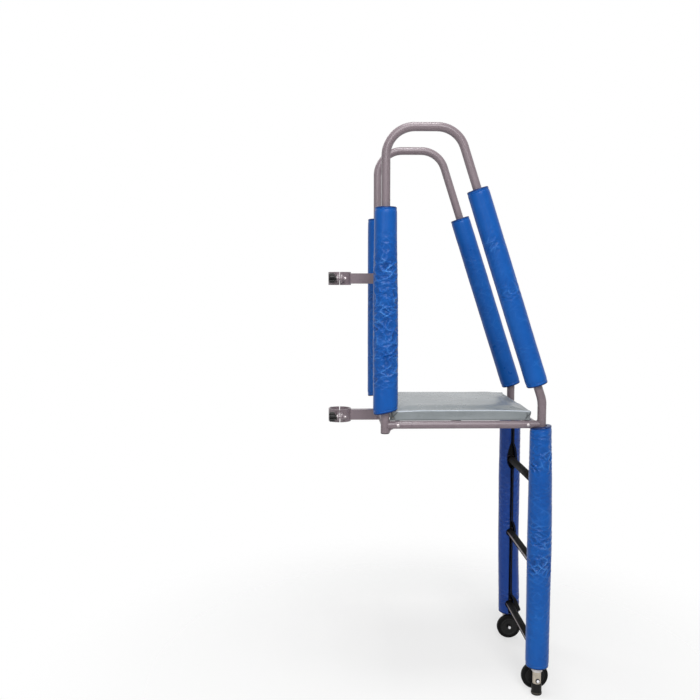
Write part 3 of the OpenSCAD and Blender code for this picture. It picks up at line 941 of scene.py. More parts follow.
class Palette:
    """Every finish on the stand, built once."""

    def __init__(self) -> None:
        """Builds the materials."""
        made = SharedEffects()
        axle = span("axle_bolt_near")[2]
        self.paint = PowderCoat(
            name="frame_powder_coat",
            light=(0.197, 0.155, 0.172),
            dark=(0.170, 0.133, 0.149),
            rubbed=(0.30, 0.26, 0.27),
        ).build(made)
        self.zinc = Plate(
            name="bright_zinc", light=(0.50, 0.46, 0.465), dark=(0.34, 0.31, 0.315), roughness=0.42
        ).build(made)
        self.axle_plate = Plate(
            name="axle_zinc",
            light=(0.86, 0.86, 0.88),
            dark=(0.70, 0.70, 0.72),
            # painted shade ring round the axle bolt's head
            washer=(axle.x, axle.z, 0.0048, 0.0062),
        ).build(made)
        self.foot_plate = Plate(
            name="dull_plated_tube",
            light=(0.56, 0.50, 0.42),
            dark=(0.42, 0.37, 0.30),
            roughness=0.38,
            metallic=0.8,
        ).build(made)
        # Each vinyl's crease colour is painted shade, and its ridge colour a painted highlight
        self.blue_vinyl = CoatedVinyl(
            name="blue_vinyl",
            light=(0.005, 0.093, 0.375),
            dark=(0.003, 0.066, 0.300),
            crease=(0.002, 0.018, 0.095),
            rubbed=(0.016, 0.125, 0.43),
            ridge=(0.060, 0.225, 0.60),
        ).build(made)
        # A darker copy of the blue vinyl: painted shade for the far ladder leg's sleeve, which stands in
        # shade
        self.deep_blue_vinyl = CoatedVinyl(
            name="deep_blue_vinyl",
            light=(0.012, 0.064, 0.320),
            dark=(0.007, 0.044, 0.250),
            crease=(0.003, 0.014, 0.09),
            rubbed=(0.02, 0.07, 0.34),
            ridge=(0.045, 0.12, 0.42),
        ).build(made)
        self.grey_vinyl = CoatedVinyl(
            name="grey_vinyl",
            light=(0.235, 0.257, 0.266),
            dark=(0.190, 0.210, 0.218),
            crease=(0.05, 0.055, 0.058),
            rubbed=(0.29, 0.31, 0.32),
            ridge=(0.56, 0.61, 0.67),
            roughness=0.26,
            specular=0.20,
        ).build(made)
        # The foot tips carry a pale painted highlight ring 8.5 mm above the floor
        self.rubber = Rubber(name="black_rubber", worn_ring=(0.0085, 0.0022)).build(made)
        self.grip_rubber = Rubber(
            name="grip_rubber",
            light=(0.0080, 0.0075, 0.0070),
            dark=(0.005, 0.005, 0.0045),
            roughness=0.55,
            dusty=0.03,
            specular=0.05,
        ).build(made)
        self.tyre = Rubber(
            name="tyre_rubber",
            light=(0.0045, 0.0045, 0.0048),
            dark=(0.003, 0.003, 0.0031),
            roughness=0.55,
            dusty=0.04,
            specular=0.10,
        ).build(made)
        self.black_plastic = MouldedPlastic(
            name="black_plastic", light=(0.008, 0.008, 0.0083), dark=(0.004, 0.004, 0.0042)
        ).build(made)
        self.nylon = MouldedPlastic(
            name="natural_nylon",
            light=(0.74, 0.71, 0.70),
            dark=(0.62, 0.58, 0.57),
            roughness=0.5,
            specular=0.4,
            rubbed=(0.4, 0.36, 0.32),
        ).build(made)
        self.plywood = RawPlywood().build(made)
        self.foam = OpenFoam().build(made)
        self.blue_thread = Thread(
            name="blue_thread", light=(0.03, 0.16, 0.5), dark=(0.01, 0.07, 0.28)
        ).build(made)
        self.hook_tape = HookTape().build(made)


# Sub-assemblies


@dataclass
class PaintedFrame:
    """The tubes that are welded together: they keep their CAD shape and gain weld beads."""

    nodes: dict[str, Piece]
    palette: Palette
    rail_r: float = 0.01588
    rung_r: float = 0.0127
    leg_r: float = 0.01905
    bead: float = 0.0019
    set_back: float = 0.0016
    ripples: int = 40

    PAINTED = (
        "handrail_ side_rail_ platform_tube_ corner_gussets upper_crossbar ladder_leg_ rung_lower "
        "rung_middle rung_upper clamp_arm_ clamp_saddle_ clamp_cap_"
    )

    def build(self) -> None:
        """Dresses the tubes and adds the weld beads."""
        dress_nodes(self.nodes, self.PAINTED, self.palette.paint)
        piece = join([bead for side in Side for bead in self._side_beads(side)], "weld_beads")
        shade_smooth(piece, 60)
        dress(piece, self.palette.paint)
        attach(piece, "stand")
        LOG.info("weld beads: %d faces", len(piece.data.polygons))

    def _side_beads(self, side: Side) -> list[Piece]:
        """Makes the beads at one side frame's joints.

        Args:
            side: The side frame.

        Returns:
            The beads.
        """
        leg = span(f"ladder_leg_{side.word}")[2]
        rail_low, rail_high, rail = span(f"side_rail_{side.word}")
        side_r = (rail_high.z - rail_low.z) / 2
        bar = span("upper_crossbar")[2]
        forth, inward = Vector((1, 0, 0)), Vector((0, -side.value, 0))
        beads = [
            self._bead(Vector((bar.x, leg.y, rail.z)), forth, side_r, self.rail_r),
            self._bead(Vector((leg.x, leg.y, rail.z)), -forth, side_r, self.rail_r),
        ]
        for name in ("rung_lower", "rung_middle", "rung_upper"):
            place = Vector((leg.x, leg.y, span(name)[2].z))
            beads.append(self._bead(place, inward, self.rung_r, self.leg_r))
        for name in ("platform_tube_middle", "platform_tube_rear"):
            tube = span(name)[2]
            place = Vector((tube.x, leg.y, tube.z))
            beads.append(self._bead(place, inward, side_r - self.set_back, side_r, forth))
        beads.append(self._bead(Vector((bar.x, leg.y, bar.z)), inward, self.rail_r, self.rail_r))
        return beads

    def _bead(
        self, centre: Vector, branch: Vector, branch_r: float, stem_r: float, stem: Vector = Vector((0, 0, 1))
    ) -> Piece:
        """Makes the rippled bead where a branch tube meets a stem tube at a right angle.

        Args:
            centre: Where the two axes cross.
            branch: The direction in which the branch leaves the stem.
            branch_r: The branch's outer radius.
            stem_r: The stem's outer radius.
            stem: The stem's direction.

        Returns:
            The bead.
        """
        ring_r = branch_r + self.bead * 0.3
        deselect_all()
        bpy.ops.mesh.primitive_torus_add(
            major_radius=ring_r, minor_radius=self.bead, major_segments=self.ripples, minor_segments=6
        )
        obj = bpy.context.object
        turn = Matrix((branch.cross(stem).normalized(), stem, branch)).transposed()
        for vertex in obj.data.vertices:
            p = vertex.co.copy()
            ring = math.atan2(p.y, p.x)
            size = 0.82 + 0.18 * abs(math.sin(ring * self.ripples / 4))
            flat = Vector((math.cos(ring), math.sin(ring), 0)) * ring_r
            p = flat + (p - flat) * size
            reach = math.sqrt(max(0.0, stem_r**2 - min(abs(flat.x), stem_r * 0.999) ** 2))
            p.z += reach + self.bead * 0.2
            vertex.co = turn @ p + centre
        return set_in_place(obj, "bead")


@dataclass
class Hardware:
    """Bolts, plugs, collars, feet and wheels: CAD shapes with their own finishes."""

    nodes: dict[str, Piece]
    palette: Palette

    def build(self) -> None:
        """Dresses every node that isn't painted or padded."""
        palette = self.palette
        groups = {
            "deck_brackets deck_bolts deck_screws leg_lock_buttons axle_spacer_ clamp_screw_": palette.zinc,
            "axle_bolt_": palette.axle_plate,
            "foot_tube_": palette.foot_plate,
            "foot_tip_": palette.rubber,
            "wheel_tyre_": palette.tyre,
            "upright_plugs wheel_hub_ clamp_knob_": palette.black_plastic,
            "leg_collar_": palette.nylon,
            "deck_board": palette.plywood,
        }
        for starts, material in groups.items():
            dress_nodes(self.nodes, starts, material)
        LOG.info("hardware: %d finishes", len(groups))


@dataclass
class RungGrips:
    """The ribbed rubber grips on the three rungs, each slit along its length.

    The slit of each grip faces its turn, in degrees from +X towards +Z.
    """

    palette: Palette
    radius: float = 0.0152
    thick: float = 0.0019
    rib: float = 0.00045
    ribs: int = 42
    rib_points: int = 4
    slit: float = 0.012
    bevel: float = 0.0006
    flare: float = 1.04
    turns: tuple[tuple[str, float], ...] = (("lower", 178.0), ("middle", 178.0), ("upper", 250.0))

    def build(self) -> None:
        """Builds one grip for each rung."""
        for which, turn in self.turns:
            piece = self._grip(which, turn)
            dress(piece, self.palette.grip_rubber)
            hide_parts(f"rung_grip_{which}")
            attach(piece, "stand")
            LOG.info("%s: %d faces", piece.name, len(piece.data.polygons))

    def _grip(self, which: str, turn: float) -> Piece:
        """Extrudes one ribbed, slit sleeve along a rung.

        Args:
            which: The rung: lower, middle or upper.
            turn: The way the slit faces.

        Returns:
            The grip.
        """
        low, high, _ = span(f"rung_grip_{which}")
        axis = span(f"rung_{which}")[2]
        half = math.asin(self.slit / 2 / self.radius)
        count = self.ribs * self.rib_points
        obj = self._open_line(count)
        # The cut edge joined points 0 and 1, so the line runs from 0 back through the last to 1.
        for step, index in enumerate([0, *range(count - 1, 0, -1)]):
            angle = math.radians(turn) + half + step / (count - 1) * (2 * math.pi - 2 * half)
            crown = 0.5 - 0.5 * math.cos(2 * math.pi * step / self.rib_points)
            reach = self.radius - self.rib * (1 - crown) - self.bevel
            spot = (axis.x + math.cos(angle) * reach, low.y, axis.z + math.sin(angle) * reach)
            obj.data.vertices[index].co = spot
        length = high.y - low.y
        with edit_mode(obj):
            for shift, scale in (
                (self.bevel, self.flare), (length - 2 * self.bevel, 1.0), (self.bevel, 1 / self.flare)
            ):
                bpy.ops.mesh.extrude_region_move(TRANSFORM_OT_translate={"value": (0, shift, 0)})
                if scale != 1.0:
                    bpy.ops.transform.resize(value=(scale, 1, scale), center_override=(axis.x, 0, axis.z))
        face = obj.data.polygons[len(obj.data.polygons) // 2]
        faces_out = face.normal.dot(face.center - Vector((axis.x, face.center.y, axis.z))) > 0
        wall = obj.modifiers.new("wall", "SOLIDIFY")
        wall.thickness = self.thick
        wall.offset = -1.0 if faces_out else 1.0
        apply_modifier(obj, wall)
        set_in_place(obj, f"rung_grip_{which}_ribbed")
        face_outwards(obj)
        shade_smooth(obj, 50)
        return obj

    def _open_line(self, count: int) -> Piece:
        """Makes a ring of points without its first edge.

        Args:
            count: The number of points.

        Returns:
            The open ring.
        """
        deselect_all()
        bpy.ops.mesh.primitive_circle_add(vertices=count, radius=self.radius, fill_type="NOTHING")
        obj = bpy.context.object
        with edit_mode(obj):
            bpy.ops.mesh.select_all(action="DESELECT")
        obj.data.edges[0].select = True
        for vertex in obj.data.edges[0].vertices:
            obj.data.vertices[vertex].select = True
        bpy.ops.object.mode_set(mode="EDIT")
        bpy.ops.mesh.delete(type="EDGE_FACE")
        bpy.ops.object.mode_set(mode="OBJECT")
        return obj


@dataclass(frozen=True)
class Wrinkles:
    """A stretch of a sleeve where the vinyl is creased."""

    middle: float
    reach: float
    depth: float


@dataclass(frozen=True)
class Swelling:
    """A stretch of a sleeve that stands fuller, or slacker, than the rest."""

    middle: float
    reach: float
    clamp_side: float
    ladder_side: float


@dataclass(kw_only=True)
class FoamSleeve:
    """A foam tube in a vinyl cover, split along its length so that it clips over a frame tube.

    An eye is a height at which the slit opens round a cross tube, and the opening's reach above it.
    A snug eye fits closely. The tape is narrower on its second lip. Its lower end may hang loose: there
    it is wider, its corner stands out and it lifts, each of the two by a size that fades over a reach.
    """

    name: str
    palette: Palette
    low: Vector
    up: Vector
    slit: Vector
    length: float
    radius: float
    bore: float
    seed: int
    facet: tuple[float, int]
    facet_depth: float = 0.0084
    # Shares and width of the painted shade in the dimples and the painted highlight on the ridges
    crease_share: float = 0.36
    ridge_share: float = 0.98
    ridge_width: float = 0.17
    wave: float = 0.0010
    ripple: float = 0.0004
    wrinkles: tuple[Wrinkles, ...] = ()
    swellings: tuple[Swelling, ...] = ()
    eyes: tuple[tuple[float, float], ...] = ()
    eye_size: tuple[float, float] = (0.086, 0.036)
    snug: int = 0
    snug_r: float = 0.0168
    tilt_low: float = 0.0
    tilt_high: float = 0.0
    tilt_reach: float = 0.06
    notches: bool = False
    notch_gap: float = 0.0006
    bend_from: float = 0.0
    bend_r: float = 0.1016
    slit_half: float = 0.002
    lip_roll: float = 0.0016
    tape: float = 0.0
    tape_thick: float = 0.0011
    tape_narrow: float = 0.35
    tape_start: float = 0.0004
    tape_clear: float = 0.0001
    tape_columns: int = 40
    loose: float = 0.0
    loose_reach: float = 0.055
    loose_corner: tuple[float, float] = (0.014, 0.014)
    loose_lift: tuple[float, float] = (0.007, 0.03)
    flap: tuple[float, float] = (0.0003, 0.0010)
    flap_grip: float = 0.0131
    stitch: float = 0.0046
    # deep picks the darker copy of the blue vinyl, as painted shade
    deep: bool = False
    columns: int = 144
    lining_columns: int = 36
    row_step: float = 0.0021

    # Each hem's rows, and how far the cover is drawn in there. The stitches lie in the groove.
    HEM_ROWS = (
        0, 0.0006, 0.0014, 0.0025, 0.004, 0.006, 0.0085, 0.0096, 0.0106, 0.0116, 0.013, 0.0155, 0.019,
    )
    HEM_STEPS = (0, 0.0006, 0.0014, 0.0025, 0.004, 0.0085, 0.0096, 0.0106, 0.0116, 0.013, 0.0155, 0.022)
    HEM_DRAWN = (
        0.0034, 0.0022, 0.0016, 0.0012, 0.0010, 0.0011, 0.0013, 0.0022, 0.0013, 0.0008, 0.0004, 0.0,
    )
    GROOVE = 0.0106
    HEM_END = 0.022
    # Painted shade: the darkness of the band at each end of the cover, and of the lining, which darkens the
    # end faces
    DARK = 0.95

    @property
    def side(self) -> Vector:
        """The direction across the sleeve, square to its slit."""
        return self.up.cross(self.slit).normalized()

    def build(self) -> None:
        """Builds the sleeve with its stitches and, where it has tape, its closing."""
        rows = self._rows()
        outside, crease, ridge = self._outside(rows)
        inside = self._inside(rows)
        faces, vinyl = self._faces(len(rows))
        obj = mesh_piece(self.name, np.concatenate([outside, inside]), faces)
        # A deep sleeve takes the darker copy of the blue vinyl, as painted shade
        obj.data.materials.append(self.palette.deep_blue_vinyl if self.deep else self.palette.blue_vinyl)
        obj.data.materials.append(self.palette.foam)
        numbers = np.zeros(len(faces), dtype=np.int32)
        numbers[vinyl:] = 1
        obj.data.polygons.foreach_set("material_index", numbers)
        # The lining takes full painted shade, so the vinyl end faces darken towards the bore
        lining = np.zeros(len(inside))
        crease, ridge = np.concatenate([crease, lining + self.DARK]), np.concatenate([ridge, lining])
        paint_masks(obj, crease=crease, ridge=ridge)
        face_outwards(obj)
        shade_smooth(obj, 55)
        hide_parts(self.name.removesuffix("_cover"))
        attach(obj, "stand")
        skin = outside.reshape(len(rows), self.columns + 1, 3)
        self._stitch(skin, rows)
        if self.tape > 0:
            self._finish_tape(self._tape_strips(skin, rows), "_tape")
            # The dark flap also stands in for the shade inside the slit and the eyes
            self._finish_tape(self._flap_strips(), "_flap")
        LOG.info("%s: %d faces", self.name, len(obj.data.polygons))

    def _rows(self) -> np.ndarray:
        """Places the mesh rows, closer together at the hems.

        Returns:
            Distances from the lower end.
        """
        hem = np.array(self.HEM_ROWS)
        count = int((self.length - 2 * self.HEM_END) / self.row_step)
        middle = np.linspace(self.HEM_END, self.length - self.HEM_END, count)
        return np.concatenate([hem, middle, (self.length - hem)[::-1]])

    def _half_gap(self, rows: np.ndarray, snug: int) -> np.ndarray:
        """Widens the slit into an eye round each cross tube.

        Args:
            rows: Distances from the lower end.
            snug: How many of the eyes, from the lowest, fit closely round their tube.

        Returns:
            Half the slit's width, one value a row.
        """
        tall, wide = self.eye_size
        arc = (tall * tall + wide * wide) / (4 * wide)
        gap = np.full_like(rows, self.slit_half)
        for eye, _ in self.eyes[:snug]:
            gap = np.maximum(gap, np.sqrt(np.clip(self.snug_r**2 - (rows - eye) ** 2, 0, None)))
        for eye, above in self.eyes[snug:]:
            away = np.where(rows > eye, (rows - eye) * (tall / 2) / above, eye - rows)
            away = np.clip(away, 0, arc * 0.99)
            gap = np.maximum(gap, np.sqrt(arc**2 - away**2) - (arc - wide / 2))
        return gap

    def _lay_out(self, rows: np.ndarray, base: float, count: int) -> tuple[np.ndarray, np.ndarray]:
        """Lays columns round the sleeve, from one lip of the slit to the other.

        Args:
            rows: Distances from the lower end.
            base: The radius of this face of the sleeve.
            count: The number of columns.

        Returns:
            Each point's angle from the slit, and its distance along the sleeve.
        """
        start, stop = (
            np.arcsin(np.clip(self._half_gap(rows, snug) / base, 0, 0.97)) for snug in (0, self.snug)
        )
        share = np.linspace(0, 1, count + 1)
        angle = start[:, None] + share[None, :] * (2 * math.pi - start - stop)[:, None]
        return angle, np.repeat(rows[:, None], count + 1, axis=1)

    def _outside(self, rows: np.ndarray) -> tuple[np.ndarray, np.ndarray, np.ndarray]:
        """Shapes the vinyl: hems, creases, full and slack stretches and rolled lips.

        Args:
            rows: Distances from the lower end.

        Returns:
            Its points, the crease mask of painted shade and the ridge mask of painted highlight.
        """
        angle, along = self._lay_out(rows, self.radius, self.columns)
        cos, sin = np.cos(angle), np.sin(angle)
        face = -(cos * self.slit.y + sin * self.side.y)
        across = cos * self.slit.x + sin * self.side.x
        move, crease, ridge = self._relief(along, angle / (2 * math.pi), face)
        drawn = np.interp(np.minimum(rows, self.length - rows), self.HEM_STEPS, self.HEM_DRAWN)
        radius = self.radius - drawn[:, None] + move + self._fullness(along, across)
        share = np.linspace(0, 1, self.columns + 1)
        lip = np.minimum(share, 1 - share)[None, :] * 2 * math.pi * self.radius
        radius -= self.lip_roll * bell(lip, self.lip_roll)
        return self._place(cos * radius, sin * radius, along), crease.reshape(-1), ridge.reshape(-1)

    def _inside(self, rows: np.ndarray) -> np.ndarray:
        """Shapes the foam's bore, which follows the tube's bend at its lower end.

        Args:
            rows: Distances from the lower end.

        Returns:
            Its points.
        """
        angle, along = self._lay_out(rows, self.bore, self.lining_columns)
        x = np.cos(angle) * self.bore
        if self.bend_from > 0:
            sag = (self.bend_from - rows) ** 2 / (2 * self.bend_r)
            x += np.where(rows < self.bend_from, sag, 0.0)[:, None]
        return self._place(x, np.sin(angle) * self.bore, along)

    def _relief(
        self, along: np.ndarray, around: np.ndarray, face: np.ndarray
    ) -> tuple[np.ndarray, np.ndarray, np.ndarray]:
        """Works out the creases: ridges in a warped lattice, with a dimple in each facet.

        Args:
            along: Distance along the sleeve at each point.
            around: Share of a turn at each point.
            face: How squarely each point faces the near side, -1 to 1.

        Returns:
            The outward move, the crease mask of painted shade and the ridge mask of painted highlight, both
            from 0 to 1.
        """
        pattern = Creases(self.seed, along, around)
        strength = np.zeros_like(along)
        for fold in self.wrinkles:
            stretch = np.exp(-(((along - fold.middle) / fold.reach) ** 4))
            strength = np.maximum(strength, fold.depth * stretch)
        edge_run = np.minimum(along, self.length - along)
        patchy = pattern.swell(0.040, 6)
        strength = strength * (0.25 + 1.1 * patchy) * ramp(edge_run, 0.012, 0.03)
        strength = strength * (0.14 + 0.86 * ramp(face, -0.02, 0.8))
        length, count = self.facet
        dimples, edges = np.zeros_like(along), np.zeros_like(along)
        for scale, share in ((1.0, 1.0), (0.55, 0.33)):
            cells = max(2, round(count / scale))
            slide = pattern.hills(0.05, 4) + 0.5 * pattern.hills(0.022, 7)
            turn = pattern.hills(0.035, 5)
            a = along / (length * scale) + 1.5 * slide / scale
            b = cells * (around + 0.10 * turn)
            ridges = np.minimum(np.abs(np.sin(math.pi * (a + b))), np.abs(np.sin(math.pi * (a - b))))
            dimples += share * ridges**0.8
            edges = np.maximum(edges, share**0.5 * bell(ridges, self.ridge_width))
        wave, small = pattern.hills(0.12, 3), pattern.hills(0.03, 7)
        broken = ramp(pattern.swell(0.017, 11), 0.45, 0.2)
        move = -strength * self.facet_depth * (dimples - 0.35) + self.wave * wave + self.ripple * small
        # Painted shade: a dark band at each end of the cover
        hem = self.DARK * (1 - ramp(edge_run, 0.0042, 0.0018))
        # Painted shade in the dimples, and a painted highlight on the broken ridge lines
        crease = np.clip(self.crease_share * strength * ramp(dimples, 0.5, 0.6), 0, 1)
        ridge = np.clip(self.ridge_share * strength * edges * broken, 0, 1)
        return move * ramp(edge_run, 0.004, 0.02), np.maximum(crease, hem), ridge

    def _fullness(self, along: np.ndarray, across: np.ndarray) -> np.ndarray:
        """Works out how far the foam stands out where the sleeve is slack or full.

        Args:
            along: Distance along the sleeve at each point.
            across: The part of each point's outward direction that faces the ladder, -1 to 1.

        Returns:
            The outward move.
        """
        move = np.zeros_like(along)
        for swelling in self.swellings:
            share = bell(along - swelling.middle, swelling.reach)
            move += share * swelling.clamp_side * smoothstep(-across)
            move += share * swelling.ladder_side * smoothstep(across)
        return move

    def _place(self, x: np.ndarray, y: np.ndarray, along: np.ndarray) -> np.ndarray:
        """Turns one face of the sleeve into place, slopes its ends and cuts the tubes' notches.

        Args:
            x: Each point's distance from the axis towards the slit.
            y: Its distance across.
            along: Its distance from the lower end.

        Returns:
            The points, one row each.
        """
        turn = np.array([list(self.slit), list(self.side), list(self.up)])
        points = np.stack([x, y, along], axis=-1).reshape(-1, 3) @ turn
        rows = along.reshape(-1)
        for tilt, run in ((self.tilt_low, rows), (self.tilt_high, self.length - rows)):
            fade = 1 - smoothstep(run / self.tilt_reach)
            points[:, 2] += points[:, 0] * math.tan(math.radians(tilt)) * fade
        if self.notches:
            rail_low, rail_high, rail = span("side_rail_near")
            cross = span("platform_tube_rear")[2]
            r = (rail_high.z - rail_low.z) / 2 + self.notch_gap
            for offset, inside in (
                (points[:, 1], points[:, 0] < 0),
                (points[:, 0] - (cross.x - self.low.x), points[:, 1] * self.slit.y > 0),
            ):
                under = inside & (np.abs(offset) < r)
                ceiling = rail.z - self.low.z - np.sqrt(np.clip(r * r - offset**2, 0, None))
                points[:, 2] = np.where(under, np.minimum(points[:, 2], ceiling), points[:, 2])
        return points + np.array(self.low)

    def _faces(self, rows: int) -> tuple[Faces, int]:
        """Lists the sleeve's faces: the cover, its two ends, then the bore and the slit's lips.

        Args:
            rows: The number of rows.

        Returns:
            The faces, and how many of them are vinyl.
        """
        m, k = self.columns, self.lining_columns
        outer, inner, step = m + 1, k + 1, m // k
        first = rows * outer
        faces: Faces = []
        for i in range(rows - 1):
            a, b = i * outer, (i + 1) * outer
            faces += [(a + j, a + j + 1, b + j + 1, b + j) for j in range(m)]
        for i in (0, rows - 1):
            a, c = i * outer, first + i * inner
            for j in range(k):
                loop = (*range(a + j * step, a + (j + 1) * step + 1), c + j + 1, c + j)
                faces.append(loop if i else loop[::-1])
        vinyl = len(faces)
        for i in range(rows - 1):
            c, d = first + i * inner, first + (i + 1) * inner
            faces += [(d + j, d + j + 1, c + j + 1, c + j) for j in range(k)]
            a, b = i * outer, (i + 1) * outer
            faces.append((a, b, d, c))
            faces.append((b + m, a + m, c + k, d + k))
        return faces, vinyl

    def _stitch(self, skin: np.ndarray, rows: np.ndarray) -> None:
        """Sews a line of thread into the groove of each hem.

        Args:
            skin: The cover's points, by row and column.
            rows: Distances from the lower end.
        """
        groove = int(np.argmin(np.abs(rows - self.GROOVE)))
        stitches = []
        for row in (groove, len(rows) - 1 - groove):
            path, centre = Path(skin[row]), skin[row].mean(axis=0)
            for n in range(int(path.runs[-1] / self.stitch)):
                a, b = (path.at((n + share) * self.stitch) for share in (0.14, 0.86))
                stitches.append((a, b, centre))
        obj = sew(stitches, self.name.replace("_cover", "_stitches"))
        dress(obj, self.palette.blue_thread)
        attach(obj, "stand")

    def _flap_strips(self) -> list[Piece]:
        """Lays the dark closing flap behind the slit, with a gap at each cross tube. It is hook tape, and
        also a dark sheet that stands in for the shade inside the slit and the eyes.

        Returns:
            The flap's strips.
        """
        half, across, row_step = math.radians(62), 14, 0.02
        inner, outer = self.flap
        stops = [0.006]
        for eye, _ in self.eyes:
            stops += [eye - self.flap_grip, eye + self.flap_grip]
        stops.append(self.length - 0.012)
        strips = []
        for start, end in zip(stops[::2], stops[1::2]):
            points = []
            for row in np.linspace(start, end, max(2, round((end - start) / row_step) + 1)):
                for layer in (outer, inner):
                    for n in range(across + 1):
                        angle = -half + 2 * half * n / across
                        out = self.slit * math.cos(angle) + self.side * math.sin(angle)
                        points.append(list(self.low + self.up * float(row) + out * (self.bore + layer)))
            strips.append(layered_strip(points, across))
        return strips

    def _tape_strips(self, skin: np.ndarray, rows: np.ndarray) -> list[Piece]:
        """Lays the hook-and-loop tape along both lips of the slit, wider at its loose lower end.

        Args:
            skin: The cover's points, by row and column.
            rows: Distances from the lower end.

        Returns:
            The tape's strips.
        """
        across, margin = 5, 0.012
        taken = np.where((rows > margin) & (rows < self.length - margin))[0]
        axis = np.array(self.low)[None, :] + rows[:, None] * np.array(self.up)[None, :]
        strips = []
        for way, width, loose in ((1, self.tape, self.loose), (-1, self.tape * self.tape_narrow, 0.0)):
            points = []
            for i in taken:
                path = Path(skin[i][::way][: self.tape_columns])
                low_end = rows[i] - rows[taken[0]]
                reach, lifted = width + loose * bell(low_end, self.loose_reach), 0.0
                if loose:
                    reach += self.loose_corner[0] * bell(low_end, self.loose_corner[1])
                    lifted = self.loose_lift[0] * bell(low_end, self.loose_lift[1])
                for layer in (self.tape_thick, 0.0):
                    for n in range(across + 1):
                        spot = path.at(self.tape_start + reach * n / across)
                        out = (spot - axis[i]) / np.linalg.norm(spot - axis[i])
                        points.append(spot + out * (layer + self.tape_clear + lifted * (n / across) ** 2))
            strips.append(layered_strip(points, across))
        return strips

    def _finish_tape(self, strips: list[Piece], ending: str) -> None:
        """Joins strips of tape into a piece and dresses it.

        Args:
            strips: The strips.
            ending: The ending of the piece's name.
        """
        piece = join(strips, self.name.replace("_cover", ending))
        shade_smooth(piece, 50)
        dress(piece, self.palette.hook_tape)
        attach(piece, "stand")


# A stitch from end to end: share of its length, girth and rise out of the cloth, in thread radii
STITCH_RINGS = ((0.0, 0.45, -0.3), (0.18, 0.95, 0.25), (0.5, 1.0, 0.5), (0.82, 0.95, 0.25), (1.0, 0.45, -0.3))


def sew(stitches: list[tuple[np.ndarray, ...]], name: str, thick: float = 0.00045, sides: int = 6) -> Piece:
    """Makes one piece out of many short stitches, each a rounded bar.

    Args:
        stitches: Each stitch's two ends, and a point behind the cloth.
        name: The piece's name.
        thick: Half the thread's thickness.
        sides: The bar's number of sides.

    Returns:
        The piece.
    """
    points, faces = [], []
    for a, b, behind in stitches:
        size = np.linalg.norm(b - a)
        along = (b - a) / size
        out = (a + b) / 2 - behind
        out = out - along * np.dot(out, along)
        out = out / (np.linalg.norm(out) + 1e-9)
        side = np.cross(along, out)
        start = len(points)
        for place, girth, rise in STITCH_RINGS:
            middle = a + along * size * place + out * thick * rise
            for n in range(sides):
                angle = 2 * math.pi * n / sides
                points.append(middle + (side * math.cos(angle) + out * math.sin(angle)) * thick * girth)
        last = start + sides * (len(STITCH_RINGS) - 1)
        for ring in range(start, last, sides):
            for n in range(sides):
                c, d = ring + n, ring + (n + 1) % sides
                faces.append((c, c + sides, d + sides, d))
        faces.append(tuple(range(start, start + sides)))
        faces.append(tuple(reversed(range(last, last + sides))))
    obj = mesh_piece(name, np.array(points), faces)
    face_outwards(obj)
    shade_smooth(obj, 80)
    return obj


